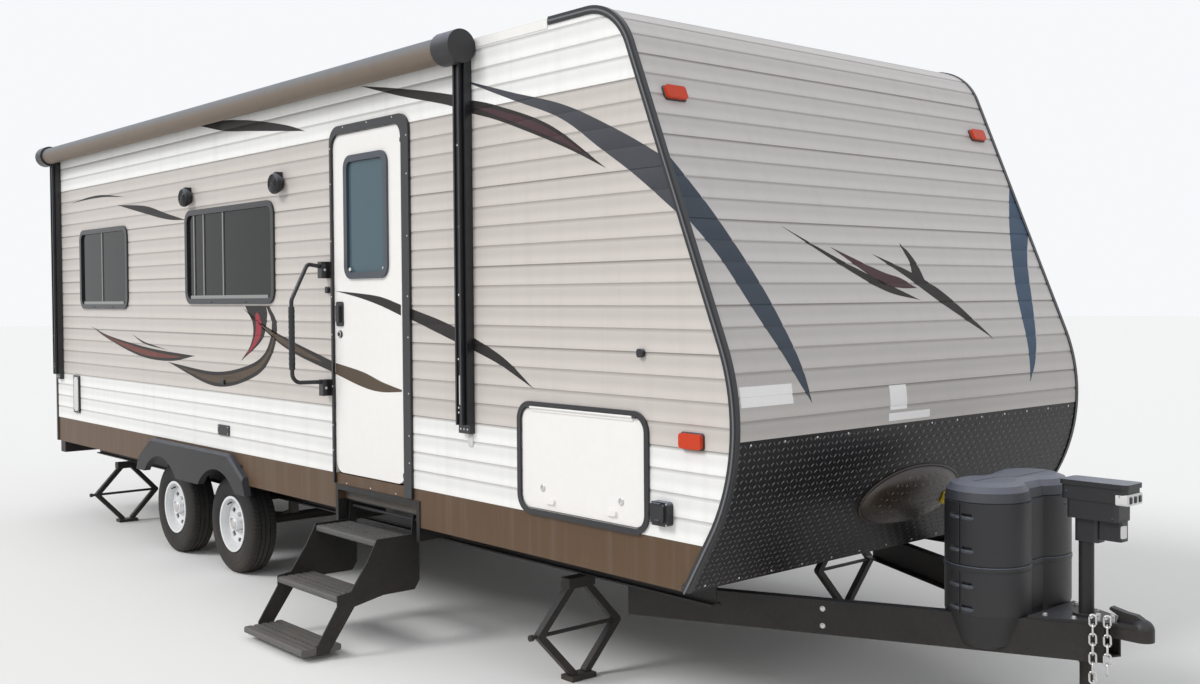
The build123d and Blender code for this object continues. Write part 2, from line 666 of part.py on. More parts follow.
def awning_arm(x):
    """A wall channel with the folding arm nested in it, up to the roll's end cap."""
    width = x[1] - x[0]
    with BuildPart() as body:
        with BuildSketch(Plane.XY.offset(ARM_FOOT_Z)):
            for start, end, out in ARM_RIBS:
                panel((x[0] + start * width, x[0] + end * width), outward(-1, RUNNING_GAP, out))
        extrude(amount=ROLL_Z - ARM_FOOT_Z)
        with BuildSketch(Plane.YZ.offset(x[0] - 1)):
            with Locations((ROLL_Y, ROLL_Z)):
                Circle(CAP_RADIUS + RUNNING_GAP)
        extrude(amount=width + 2, mode=Mode.SUBTRACT)
        # foot bracket
        with BuildSketch(Plane.XY.offset(ARM_FOOT_Z - 40)):
            panel(x, outward(-1, RUNNING_GAP, 30))
        extrude(amount=90)
    return body.part.solids().sort_by(SortBy.VOLUME)[-1]


save(Compound(children=[awning_arm(x) for x in ARM_X]), "awning_arms")
save(roller((ARM_X[0][1] + CAP_OVER, ARM_X[1][0] - CAP_OVER), ROLL_RADIUS), "awning_roller")
caps = [roller((ARM_X[0][0] - CAP_OVER, ARM_X[0][1] + CAP_OVER - RUNNING_GAP), CAP_RADIUS),
        roller((ARM_X[1][0] - CAP_OVER + RUNNING_GAP, ARM_X[1][1] + 40), CAP_RADIUS)]
save(Compound(children=caps), "awning_end_caps")

# Rain gutter and awning rail along the roof's edges
rails = [block((50, TRIM_BACK_X - GAP), outward(side, RUNNING_GAP, 4.8), (ROOF_TOP - 42, ROOF_TOP - 5))
         for side in (-1, 1)]
save(Compound(children=rails), "gutter_rails")


# Chassis: two I-section rails with cross members between them
def i_rail(y):
    """A rail of I section under the floor."""
    height = FLOOR_BOTTOM - RAIL_BOTTOM
    with BuildPart() as body:
        with BuildSketch(Plane.YZ.offset(WALL)):
            panel((y - RAIL_WIDTH / 2, y + RAIL_WIDTH / 2), (RAIL_BOTTOM, FLOOR_BOTTOM))
            for s in (-1, 1):
                with Locations((y + s * (RAIL_WIDTH / 4 + 3), RAIL_BOTTOM + height / 2)):
                    Rectangle(RAIL_WIDTH / 2 - 3, height - 16, mode=Mode.SUBTRACT)
        extrude(amount=RAIL_FRONT_X - WALL)
    return body.part


save(Compound(children=[i_rail(-RAIL_Y), i_rail(RAIL_Y)]), "chassis_rails")
MEMBER_HALF = RAIL_Y - RAIL_WIDTH / 2 - RUNNING_GAP
MEMBER_X = (400, 1650, MIDDLE_X, 3560, 4420, 5600, RAIL_FRONT_X - 250)
MEMBER_Z = (FLOOR_BOTTOM - 100, FLOOR_BOTTOM)
members = [block((x - 25, x + 25), (-MEMBER_HALF, MEMBER_HALF), MEMBER_Z) for x in MEMBER_X]
save(Compound(children=members), "cross_members")

# Tongue: two channels that run under the rails and meet at the coupler
TURN = radians(TONGUE_ANGLE)


def tongue_half(x):
    """Half the width over the two tongue rails at a place along the caravan."""
    return tan(TURN) * (TONGUE_MEET_X - x)


def tongue_rail(side, hollow=True, grow=0.0):
    """A channel of the tongue, or its full envelope grown by a clearance."""
    with BuildPart() as body:
        plane = Plane(
            origin=(TONGUE_REAR_X, -tongue_half(TONGUE_REAR_X), RAIL_BOTTOM - TONGUE_HEIGHT),
            x_dir=(-sin(TURN), cos(TURN), 0), z_dir=(cos(TURN), sin(TURN), 0))
        with BuildSketch(plane):
            panel((-grow, TONGUE_WIDTH + grow), (-grow, TONGUE_HEIGHT + grow))
            if hollow:
                panel((TONGUE_WEB, TONGUE_WIDTH + 1), (TONGUE_WEB, TONGUE_HEIGHT - TONGUE_WEB), Mode.SUBTRACT)
        extrude(amount=(TONGUE_FRONT_X - TONGUE_REAR_X) / cos(TURN))
    return body.part if side < 0 else mirror(body.part, about=Plane.XZ)


save(Compound(children=[tongue_rail(-1), tongue_rail(1)]), "tongue_rails")

# Coupler: a pressed plate on the rails' tips, the ball housing ahead of it and its latch
HOUSING_RADIUS = 42
HOUSING_LOW = BALL_Z - 35
PLATE_THICK = 12
PLATE_TOP = RAIL_BOTTOM + RUNNING_GAP + PLATE_THICK
PLATE_REAR_X = BALL_X - 365
PLATE_FRONT_X = BALL_X - 85
with BuildPart() as coupler:
    with BuildSketch(Plane.XY.offset(RAIL_BOTTOM + RUNNING_GAP)):
        with BuildLine():
            rear_half = tongue_half(PLATE_REAR_X) - 6
            Polyline(
                (PLATE_REAR_X, -rear_half), (PLATE_FRONT_X, -50), (BALL_X, -HOUSING_RADIUS),
                (BALL_X, HOUSING_RADIUS), (PLATE_FRONT_X, 50), (PLATE_REAR_X, rear_half), close=True)
        make_face()
    extrude(amount=PLATE_THICK)
    with BuildSketch(Plane.XY.offset(HOUSING_LOW)):
        panel((BALL_X - 106, BALL_X), (-HOUSING_RADIUS, HOUSING_RADIUS))
        with Locations((BALL_X, 0)):
            Circle(HOUSING_RADIUS)
    extrude(amount=RAIL_BOTTOM + 2 - HOUSING_LOW)
    with Locations((BALL_X, 0, BALL_Z + 5)):
        Sphere(HOUSING_RADIUS)
    with BuildSketch(Plane.XY.offset(HOUSING_LOW - 50)):
        with Locations((BALL_X, 0)):
            Circle(HOUSING_RADIUS + 18)
    extrude(amount=50, mode=Mode.SUBTRACT)
    with BuildSketch(Plane.XY.offset(HOUSING_LOW)):
        with Locations((BALL_X, 0)):
            Circle(BALL_RADIUS)
    extrude(amount=BALL_Z + 2 - HOUSING_LOW, mode=Mode.SUBTRACT)
    with Locations((BALL_X, 0, BALL_Z)):
        Sphere(BALL_RADIUS, mode=Mode.SUBTRACT)
    # latch lever over the housing, with its trigger
    with BuildSketch(across(15)):
        with BuildLine():
            Polyline(
                (BALL_X + 10, BALL_Z + 42), (BALL_X - 20, BALL_Z + 58), (BALL_X - 60, BALL_Z + 62),
                (BALL_X - 118, BALL_Z + 74), (BALL_X - 122, BALL_Z + 64), (BALL_X - 85, BALL_Z + 44),
                (BALL_X - 95, RAIL_BOTTOM + 6), (BALL_X - 20, RAIL_BOTTOM + 6), close=True)
        make_face()
    extrude(amount=30)
    with BuildSketch(Plane.XY.offset(RAIL_BOTTOM - 1)):
        with Locations((JACK_X, 0)):
            Circle(JACK_RADIUS + RUNNING_GAP)
    extrude(amount=PLATE_THICK + 10, mode=Mode.SUBTRACT)
save(coupler.part, "coupler")

# Safety chains: two strands of links beside the door-side rail, each hung from a pin on the coupler
LINK_WIRE = 4
LINK_HALF = 12
LINK_REACH = 22
LINK_PITCH = 2 * LINK_REACH - 2 * LINK_WIRE - RUNNING_GAP
# columns: where a strand hangs, how many links
STRANDS = ((BALL_X - 143, 7), (BALL_X - 97, 6))
CHAIN_TOP_Z = RAIL_BOTTOM + 22
CHAIN_OUT = 22
HANGER_HALF = 3.5
with BuildPart() as link:
    with BuildLine() as loop:
        corners = ((LINK_HALF, -10), (LINK_HALF, 10), (5, LINK_REACH), (-5, LINK_REACH), (-LINK_HALF, 10),
                   (-LINK_HALF, -10), (-5, -LINK_REACH), (5, -LINK_REACH))
        Polyline(*[(x, 0, z) for x, z in corners], close=True)
    with BuildSketch(Plane(origin=(LINK_HALF, 0, 0), z_dir=(0, 0, 1))):
        RegularPolygon(LINK_WIRE, 6)
    sweep(path=loop.wires()[0], transition=Transition.RIGHT)
strands = []
for x, links in STRANDS:
    rail_y = -tongue_half(x)
    for row in range(links):
        spot = Location((x, rail_y - CHAIN_OUT, CHAIN_TOP_Z - row * LINK_PITCH), (0, 0, 90 * (row % 2)))
        strands.append(link.part.moved(spot))
    # hanger pin through the top link, on a lug that stands on the coupler's plate
    pin_z = CHAIN_TOP_Z + LINK_REACH - LINK_WIRE - HANGER_HALF - RUNNING_GAP
    pin = block((x - HANGER_HALF, x + HANGER_HALF), (rail_y - CHAIN_OUT - 12, rail_y + 14),
                (pin_z - HANGER_HALF, pin_z + HANGER_HALF))
    lug = block((x - 9, x + 9), (rail_y + 8, rail_y + 26), (PLATE_TOP + RUNNING_GAP, pin_z + 6))
    strands.append(pin + lug)
save(Compound(children=strands), "safety_chains")

# Tongue jack: tube, leg and foot, with the powered head on top
HEAD_SEAT_Z = 850
with BuildPart() as tongue_jack:
    # columns: low z, high z, radius
    for low, high, radius in ((0, 12, 75), (12, 290, 25), (290, HEAD_SEAT_Z, JACK_RADIUS),
                              (PLATE_TOP + RUNNING_GAP, PLATE_TOP + 10, 50)):
        with BuildSketch(Plane.XY.offset(low)):
            with Locations((JACK_X, 0)):
                Circle(radius)
        extrude(amount=high - low)
save(tongue_jack.part, "tongue_jack")
HEAD_FOOT = HEAD_SEAT_Z - 95
# columns: low x and high x from the tube, half width, low z, high z, corner radius
HEAD_BOXES = (
    (-80, 192, 66, HEAD_SEAT_Z + 128, HEAD_SEAT_Z + 146, 20),
    (-74, 186, 60, HEAD_SEAT_Z + 72, HEAD_SEAT_Z + 130, 18),
    (-55, 150, 55, HEAD_SEAT_Z + RUNNING_GAP, HEAD_SEAT_Z + 74, 16),
    (60, 152, 30, HEAD_SEAT_Z - 75, HEAD_SEAT_Z + 2, 10),
    (-35, 62, 33, HEAD_SEAT_Z - 90, HEAD_SEAT_Z + 2, 16),
)
with BuildPart() as jack_head:
    for low, high, half, bottom, top, radius in HEAD_BOXES:
        with BuildSketch(Plane.XY.offset(bottom)):
            with Locations((JACK_X + (low + high) / 2, 0)):
                RectangleRounded(high - low, 2 * half, radius)
        extrude(amount=top - bottom)
    with BuildSketch(Plane.XY.offset(HEAD_FOOT)):
        with Locations((JACK_X, 0)):
            Circle(JACK_RADIUS + RUNNING_GAP)
    extrude(amount=HEAD_SEAT_Z + RUNNING_GAP - HEAD_FOOT, mode=Mode.SUBTRACT)
save(jack_head.part, "tongue_jack_head")

# Gas bottle cover: two lobes under a stepped lid, on a pan that straddles the tongue rails
GAS_X = BALL_X - 550
GAS_HALF = 155
GAS_RADIUS = 165
GAS_WAIST = 125
PAN_TOP = RAIL_BOTTOM + 8
LID_Z = 905
WAIST_Z = 655
GROOVE = 6
JOINT_X = GAS_X - 20
LOUVRE_Z = (498, 587, 724, 853)
LOUVRE_DEEP = 15


def lobed(shrink=0.0):
    """The two-lobed outline of the bottles, drawn in by an amount."""
    with BuildSketch() as face:
        with Locations((GAS_X, -GAS_HALF), (GAS_X, GAS_HALF)):
            Circle(GAS_RADIUS - shrink)
        with Locations((GAS_X, 0)):
            Rectangle(2 * (GAS_WAIST - shrink), 2 * GAS_HALF)
    return face.sketch


def stacked(levels):
    """A straight-sided body through lobed outlines. Columns: height, how far drawn in."""
    with BuildPart() as body:
        for z, shrink in levels:
            with BuildSketch(Plane.XY.offset(z)):
                add(lobed(shrink))
        loft(ruled=True)
    return body.part


LOBE_TIP = GAS_HALF + GAS_RADIUS
with BuildPart() as gas_cover:
    add(stacked(((PAN_TOP + RUNNING_GAP, 0), (LID_Z, 0), (LID_Z + 35, 8), (LID_Z + 58, 26),
                 (LID_Z + 70, 58))))
    # grooves at the waist and under the lid
    for z in (WAIST_Z, LID_Z - GROOVE):
        with BuildSketch(Plane.XY.offset(z)):
            add(lobed(-5))
            add(lobed(GROOVE), mode=Mode.SUBTRACT)
        extrude(amount=GROOVE, mode=Mode.SUBTRACT)
    # the joint of its two halves, and four pairs of louvres beside it
    for side in (-1, 1):
        joint_y = sorted((side * (LOBE_TIP - GROOVE), side * (LOBE_TIP + 5)))
        with BuildSketch(across(joint_y[1])):
            panel((JOINT_X - 2, JOINT_X + 2), (PAN_TOP, LID_Z))
        extrude(amount=joint_y[1] - joint_y[0], mode=Mode.SUBTRACT)
        louvre_y = sorted((side * (LOBE_TIP - LOUVRE_DEEP), side * (LOBE_TIP + 5)))
        with BuildSketch(across(louvre_y[1])):
            with Locations(*[(JOINT_X + reach, z) for reach in (-30, 30) for z in LOUVRE_Z]):
                SlotOverall(46, 13)
        extrude(amount=louvre_y[1] - louvre_y[0], mode=Mode.SUBTRACT)
    # the stepped seam across the lid
    with BuildSketch(Plane.XY.offset(LID_Z + 62)):
        with BuildLine() as seam:
            Polyline((GAS_X - 10, -240), (GAS_X - 10, -70), (GAS_X + 35, -10), (GAS_X + 35, 240))
        trace(seam.line, 5)
    extrude(amount=20, mode=Mode.SUBTRACT)
save(gas_cover.part, "gas_cover")

with BuildPart() as gas_base:
    add(stacked(((RAIL_BOTTOM - 130, 52), (RAIL_BOTTOM - 115, 34), (PAN_TOP, 0))))
    for side in (-1, 1):
        add(tongue_rail(side, hollow=False, grow=RUNNING_GAP), mode=Mode.SUBTRACT)
save(gas_base.part, "gas_base")

# Axles: tube, spindles and brake plates
DRUM_IN = TRACK_HALF - 83
with BuildPart() as axle:
    # columns: half length, radius
    for half, radius in ((DRUM_IN, 30), (TRACK_HALF - 7, SPINDLE_RADIUS)):
        with BuildSketch(across(half)):
            Circle(radius)
        extrude(amount=2 * half)
    for y in (DRUM_IN + 6, -DRUM_IN):
        with BuildSketch(across(y)):
            Circle(DRUM_RADIUS - 4)
        extrude(amount=6)
save(Compound(children=[axle.part.moved(Location((x, 0, AXLE_Z))) for x in AXLE_X]), "axles")

# Leaf springs over the axles, with an equaliser and hangers under each rail
EYE_Z = AXLE_Z + 100
EYE_REACH = 322
SPRING_WIDTH = 44


def spring_set(y):
    """The two springs of a side with their hangers."""
    with BuildPart() as body:
        with BuildSketch(across(y + SPRING_WIDTH / 2)):
            for x in AXLE_X:
                # three leaves, each shorter than the one above it
                for reach, top_z, low_z in ((EYE_REACH, 358, 349), (EYE_REACH * 0.72, 349, 342),
                                            (EYE_REACH * 0.45, 342, AXLE_Z + 30 + RUNNING_GAP)):
                    tip_z = top_z + 8 + (EYE_Z - AXLE_Z - 53) * (reach / EYE_REACH) ** 2
                    with BuildLine():
                        top = ThreePointArc((x - reach, tip_z), (x, top_z), (x + reach, tip_z))
                        low = ThreePointArc((x - reach, tip_z - 9), (x, low_z), (x + reach, tip_z - 9))
                        Line(top @ 0, low @ 0)
                        Line(top @ 1, low @ 1)
                    make_face()
            with Locations(*[(x + s * EYE_REACH, EYE_Z) for x in AXLE_X for s in (-1, 1)]):
                Circle(15)
            # hangers and the equaliser between the axles
            panel((AXLE_X[0] - EYE_REACH - 25, AXLE_X[0] - EYE_REACH + 25), (EYE_Z - 15, RAIL_BOTTOM))
            panel((AXLE_X[1] + EYE_REACH - 25, AXLE_X[1] + EYE_REACH + 25), (EYE_Z - 15, RAIL_BOTTOM))
            panel((MIDDLE_X - 30, MIDDLE_X + 30), (EYE_Z - 5, RAIL_BOTTOM))
            panel((AXLE_X[0] + EYE_REACH, AXLE_X[1] - EYE_REACH), (EYE_Z - 17, EYE_Z + 17))
        extrude(amount=SPRING_WIDTH)
    return body.part


save(Compound(children=[spring_set(-RAIL_Y), spring_set(RAIL_Y)]), "springs")

# Wheels: a tyre and a pressed rim with its hub and drum, outer side towards local +y
# columns: radius, half width
TYRE_SECTION = ((166, 69), (200, 86), (245, 88), (285, 81), (300, 68), (AXLE_Z, 52))
with BuildPart() as tyre:
    with BuildSketch(Plane.XY):
        with BuildLine():
            Polyline(*TYRE_SECTION, *[(r, -w) for r, w in reversed(TYRE_SECTION)], close=True)
        make_face()
    revolve(axis=Axis.Y)
BORE = SPINDLE_RADIUS + RUNNING_GAP
with BuildPart() as rim:
    with BuildSketch(Plane.XY):
        with BuildLine():
            # columns: radius, how far outwards
            Polyline(
                (165.4, -70), (165.4, 70), (163, 74), (174, 75.5), (174, 80), (158, 80), (152, 60),
                (150, 30), (128, 36), (78, 22), (60, 24), (44, 24), (40, 62), (30, 68), (0, 68),
                (0, 0), (BORE, 0), (BORE, -72), (DRUM_RADIUS, -72), (DRUM_RADIUS, -12), (60, -12),
                (60, 12), (118, 24), (140, 20), (155, -60), (158, -80), (174, -80), (174, -75.5),
                (163, -74), close=True)
        make_face()
    revolve(axis=Axis.Y)
    # hand holes round the disc
    with BuildSketch(across(60)):
        with PolarLocations(106, 8):
            RectangleRounded(26, 38, 9)
    extrude(amount=56, mode=Mode.SUBTRACT)

# columns: name, x, side
for name, x, side in (("front_left", AXLE_X[1], 1), ("front_right", AXLE_X[1], -1),
                      ("rear_left", AXLE_X[0], 1), ("rear_right", AXLE_X[0], -1)):
    spot = Location((x, side * TRACK_HALF, AXLE_Z), (0, 0, 0 if side > 0 else 180))
    save(tyre.part.moved(spot), f"tyre_{name}")
    save(rim.part.moved(spot), f"rim_{name}")

# Stabilisers: a scissor of four channel arms between a top bracket and a foot
STAB_X = (750, RAIL_FRONT_X - 800)
STAB_Y = RAIL_Y + 55
STAB_REACH = 225
STAB_LOW = 30
STAB_HIGH = RAIL_BOTTOM - 35


def arm(start, end, x, half=16, thick=34):
    """A flat arm between two points of the plane across the caravan."""
    length = ((end[0] - start[0]) ** 2 + (end[1] - start[1]) ** 2) ** 0.5
    with BuildPart() as body:
        along = (0, (end[0] - start[0]) / length, (end[1] - start[1]) / length)
        middle = (x, (start[0] + end[0]) / 2, (start[1] + end[1]) / 2)
        with BuildSketch(Plane(origin=middle, x_dir=along, z_dir=(1, 0, 0))):
            SlotCenterToCenter(length, 2 * half)
        extrude(amount=thick / 2, both=True)
    return body.part


def stabiliser(x, side):
    """A scissor leg with its foot, top bracket and screw."""
    middle = (STAB_LOW + STAB_HIGH) / 2
    centre = side * STAB_Y
    body = block((x - 40, x + 40), (centre - 70, centre + 70), (0, 22))
    body += block((x - 30, x + 30), (centre - 75, centre + 75), (STAB_HIGH - 12, RAIL_BOTTOM - RUNNING_GAP))
    for way in (-1, 1):
        for level in (STAB_LOW, STAB_HIGH):
            body += arm((centre + way * 40, level), (centre + way * STAB_REACH, middle), x)
    # the screw runs through both knees and ends in a round head on the outer side
    for low, high, radius in ((-STAB_REACH, STAB_REACH + 35, 9), (STAB_REACH + 35, STAB_REACH + 52, 14)):
        y = sorted((side * (STAB_Y + low), side * (STAB_Y + high)))
        with BuildPart() as screw:
            with BuildSketch(across(y[1])):
                with Locations((x, middle)):
                    Circle(radius)
            extrude(amount=y[1] - y[0])
        body += screw.part
    return body


save(Compound(children=[stabiliser(x, s) for x in STAB_X for s in (-1, 1)]), "stabilisers")

# Entry step: treads on side plates that fold out from a box under the doorway
STEP_X = (4520, 5120)
STEP_SIDE = 8
TREAD_THICK = 32
# columns: how far the outer and inner edges stand out from the wall, top z
TREADS = ((153, -54, 522), (373, 166, 285), (561, 351, 62))


def tread(outer, inner, top):
    """A pressed tread with rounded edges and four lengthwise grooves."""
    y = (-HALF_WIDTH - outer, -HALF_WIDTH - inner)
    with BuildPart() as body:
        with BuildSketch(Plane.YZ.offset(STEP_X[0])):
            with Locations(((y[0] + y[1]) / 2, top - TREAD_THICK / 2)):
                RectangleRounded(y[1] - y[0], TREAD_THICK, 10)
            for share in (0.22, 0.41, 0.6, 0.79):
                middle = y[0] + share * (y[1] - y[0])
                panel((middle - 6, middle + 6), (top - 5, top + 1), Mode.SUBTRACT)
        extrude(amount=STEP_X[1] - STEP_X[0])
    return body.part


save(Compound(children=[tread(*row) for row in TREADS]), "step_treads")

# columns: how far out from the wall, height
SIDE_PLATE = ((-89, 628), (-54, 628), (-44, 532), (153, 532), (215, 420), (300, 300), (373, 291), (373, 240),
              (481, 72), (481, 28), (421, 28), (281, 225), (120, 256), (-60, 256), (-89, 300))
PIVOT = (-71, 600, 8)
BOX_X = (STEP_WELL[0] + 1, STEP_WELL[1] - 1)


def step_side(x):
    """A side plate of the folding step."""
    with BuildPart() as body:
        with BuildSketch(Plane.YZ.offset(x)):
            with BuildLine():
                Polyline(*[(-HALF_WIDTH - out, z) for out, z in SIDE_PLATE], close=True)
            make_face()
        extrude(amount=STEP_SIDE)
    return body.part


plates = step_side(STEP_X[0] - STEP_SIDE - RUNNING_GAP) + step_side(STEP_X[1] + RUNNING_GAP)
with BuildPart() as pivot:
    with BuildSketch(Plane.YZ.offset(BOX_X[0] + 6 + RUNNING_GAP)):
        with Locations((-HALF_WIDTH - PIVOT[0], PIVOT[1])):
            Circle(PIVOT[2])
    extrude(amount=BOX_X[1] - BOX_X[0] - 12 - 2 * RUNNING_GAP)
save(plates + pivot.part, "step_sides")

# Step box: cheeks and a top under the floor, with a flange round the well
BOX_FOOT = 520
BOX_BACK = -(RAIL_Y + RAIL_WIDTH / 2 + RUNNING_GAP)
BOX_TOP = FLOOR_BOTTOM - RUNNING_GAP
box = block(BOX_X, (-INNER_HALF - 1, BOX_BACK), (BOX_TOP - 6, BOX_TOP))
for x in (BOX_X[0], BOX_X[1] - 6):
    box += block((x, x + 6), (-HALF_WIDTH - 4, BOX_BACK), (BOX_FOOT, BOX_TOP))
with BuildPart() as well_flange:
    with BuildSketch(across(-HALF_WIDTH - RUNNING_GAP)):
        panel((STEP_WELL[0] - 20, STEP_WELL[1] + 20), (BOX_FOOT, STEP_WELL[2] + 20))
        panel((BOX_X[0] + 6, BOX_X[1] - 6), (BOX_FOOT - 1, STEP_WELL[2] - 8), Mode.SUBTRACT)
    extrude(amount=4)
save(box + well_flange.part, "step_box")

# Roof: air conditioner and vents
COOLER_X = 3700
COOLER_HALF = 350
SLOT_DEEP = 90
with BuildPart() as cooler:
    with BuildSketch(Plane.XY.offset(ROOF_TOP + RUNNING_GAP)):
        with Locations((COOLER_X, 0)):
            RectangleRounded(900, 2 * COOLER_HALF, 90)
    extrude(amount=350, taper=8)
    fillet(cooler.faces().sort_by(Axis.Z)[-1].edges(), 40)
    # intake slots in each long side
    for y in (COOLER_HALF + 50, SLOT_DEEP - COOLER_HALF - 50):
        with BuildSketch(across(y)):
            with Locations((COOLER_X - 260, ROOF_TOP + 158), (COOLER_X + 260, ROOF_TOP + 158)):
                with GridLocations(1, 34, 1, 5):
                    SlotOverall(260, 16)
        extrude(amount=SLOT_DEEP, mode=Mode.SUBTRACT)
save(cooler.part, "air_conditioner")
VENT_HALF = 180
vents = []
# columns: x, y
for x, y in ((1200, 250), (5300, -250)):
    with BuildPart() as vent:
        # columns: low z above the roof, height, half length, taper
        for low, height, half, taper in ((RUNNING_GAP, 35, VENT_HALF + 15, 0), (35, 60, VENT_HALF, 14)):
            with BuildSketch(Plane.XY.offset(ROOF_TOP + low)):
                with Locations((x, y)):
                    RectangleRounded(2 * half, 2 * half, 40)
            extrude(amount=height, taper=taper)
    vents.append(vent.part)
save(Compound(children=vents), "roof_vents")

# Rear bumper: a square tube on the rails' ends
BUMPER_HALF = HALF_WIDTH - 69
bumper = block((-140, -40), (-BUMPER_HALF, BUMPER_HALF), (RAIL_BOTTOM + 20, RAIL_BOTTOM + 120))
for s in (-1, 1):
    bumper += block((-41, WALL - RUNNING_GAP), (s * RAIL_Y - 25, s * RAIL_Y + 25),
                    (RAIL_BOTTOM + 30, RAIL_BOTTOM + 110))
save(bumper, "rear_bumper")
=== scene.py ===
from functools import partial
from math import acos, asin, atan2, cos, hypot, pi, radians, sin

import bmesh
import bpy
from mathutils import Matrix, Vector


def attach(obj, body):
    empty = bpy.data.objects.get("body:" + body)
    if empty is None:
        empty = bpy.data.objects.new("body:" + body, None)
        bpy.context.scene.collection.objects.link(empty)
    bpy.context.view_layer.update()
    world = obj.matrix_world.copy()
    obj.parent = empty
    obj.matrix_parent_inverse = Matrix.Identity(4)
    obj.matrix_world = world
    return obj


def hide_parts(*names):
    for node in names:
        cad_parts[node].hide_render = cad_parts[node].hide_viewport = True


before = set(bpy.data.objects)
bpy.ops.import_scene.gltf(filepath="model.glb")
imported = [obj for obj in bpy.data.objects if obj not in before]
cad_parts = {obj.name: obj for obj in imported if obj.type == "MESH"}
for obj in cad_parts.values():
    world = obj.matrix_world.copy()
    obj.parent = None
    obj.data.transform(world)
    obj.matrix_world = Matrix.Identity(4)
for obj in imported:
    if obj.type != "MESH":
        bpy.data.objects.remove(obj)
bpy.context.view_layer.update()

# Camera
# It stands at eye height off the front corner on the door side and looks back along the body.
EYE = (2.164, -4.555, 1.262)
TURN, TILT, ROLL = radians(48.828), radians(-1.27), radians(-0.4406)
camera = bpy.data.objects.new("camera", bpy.data.cameras.new("camera"))
camera.data.lens = 37.651
camera.data.sensor_width = 36
camera.data.shift_y = -0.01554
camera.matrix_world = (
    Matrix.Translation(EYE) @ Matrix.Rotation(TURN, 4, "Z")
    @ Matrix.Rotation(pi / 2 + TILT, 4, "X") @ Matrix.Rotation(ROLL, 4, "Z"))
bpy.context.scene.collection.objects.link(camera)
bpy.context.scene.camera = camera
bpy.context.scene.view_settings.view_transform = "Standard"

# Studio: a pale floor, a soft sky, a broad lamp and a weaker one for the front
# The lamp stands high on the door side, a little towards the rear, so the raked front stays greyer.
# The sky lights more from above. The eye, gloss and glass see it as one pale tone.
GROUND, FLOOR_DROP, FLOOR_SIZE = -0.45, 0.0005, 160
# name, turn and height in degrees, strength, width in degrees
LAMPS = (("sun_side", -20, 40, 1.55, 22), ("fill_front", 68, 30, 0.45, 60))


def wire(tree, kind, inputs=None, **settings):
    """Adds a shader node, sets its properties and sets or links its inputs."""
    made = tree.nodes.new(kind)
    for key, value in settings.items():
        setattr(made, key, value)
    for key, value in (inputs or {}).items():
        if isinstance(value, bpy.types.NodeSocket):
            tree.links.new(value, made.inputs[key])
        else:
            made.inputs[key].default_value = value
    return made


def counted(tree, operation, first, second=0.0):
    """The outcome of a sum with one or two values or sockets."""
    return wire(tree, "ShaderNodeMath", {0: first, 1: second}, operation=operation).outputs[0]


def ranged(tree, value, low, high, start, end, **settings):
    """A value brought from one range into another, and held at its ends."""
    inputs = {0: value, 1: low, 2: high, 3: start, 4: end}
    return wire(tree, "ShaderNodeMapRange", inputs, **settings).outputs[0]


def picked(tree, mask, first, second):
    """A value between two, by a mask."""
    return wire(tree, "ShaderNodeMix", {0: mask, 2: first, 3: second}, data_type="FLOAT").outputs[0]


def blank_material(name):
    """A material with an empty tree."""
    material = bpy.data.materials.new(name)
    material.use_nodes = True
    material.node_tree.nodes.clear()
    return material, material.node_tree


def shaded(tree, inputs):
    """Closes a material's tree with its shader and its output."""
    shader = wire(tree, "ShaderNodeBsdfPrincipled", inputs)
    wire(tree, "ShaderNodeOutputMaterial", {0: shader.outputs[0]})


world = bpy.data.worlds.new("studio")
bpy.context.scene.world = world
world.use_nodes = True
sky = world.node_tree
sky.nodes.clear()
rays = wire(sky, "ShaderNodeLightPath").outputs
seen = counted(sky, "MAXIMUM", rays["Is Camera Ray"], rays["Is Transmission Ray"])
seen = counted(sky, "MAXIMUM", seen, rays["Is Glossy Ray"])
way = wire(sky, "ShaderNodeTexCoord").outputs["Generated"]
height = wire(sky, "ShaderNodeSeparateXYZ", {0: way}).outputs["Z"]
level = picked(sky, seen, ranged(sky, height, -0.1, 0.7, 0.34, 0.72), 0.96)
back = wire(sky, "ShaderNodeBackground", {"Color": (0.965, 0.98, 1, 1), "Strength": level})
wire(sky, "ShaderNodeOutputWorld", {0: back.outputs[0]})

floor_material, tree = blank_material("studio_floor")
shaded(tree, {"Base Color": (0.86, 0.855, 0.845, 1), "Roughness": 0.9})
bpy.ops.mesh.primitive_plane_add(size=FLOOR_SIZE, location=(-4, 0, GROUND - FLOOR_DROP))
studio_floor = bpy.context.object
studio_floor.name = "studio_floor"
studio_floor.data.materials.append(floor_material)

for name, turn, height, strength, width in LAMPS:
    lamp = bpy.data.objects.new(name, bpy.data.lights.new(name, "SUN"))
    lamp.data.energy = strength
    lamp.data.angle = radians(width)
    lamp.rotation_euler = (radians(90 - height), 0, radians(turn))
    bpy.context.scene.collection.objects.link(lamp)


# Shared effects: dust near the ground, rain streaks, fine grain, and fading by the sun with a painted sky
# sheen on upward faces
# Each is a group with named inputs, placed in the materials that need it.
def group(name, inputs, outputs):
    """An empty node group with its ends. Inputs are (name, kind, default) rows, outputs (name, kind)."""
    tree = bpy.data.node_groups.new(name, "ShaderNodeTree")
    for label, kind, value in inputs:
        socket = tree.interface.new_socket(label, in_out="INPUT", socket_type="NodeSocket" + kind)
        socket.default_value = value
    for label, kind in outputs:
        tree.interface.new_socket(label, in_out="OUTPUT", socket_type="NodeSocket" + kind)
    return tree, tree.nodes.new("NodeGroupInput").outputs, tree.nodes.new("NodeGroupOutput").inputs


def object_spot(tree):
    """The place on the object."""
    return wire(tree, "ShaderNodeTexCoord").outputs["Object"]


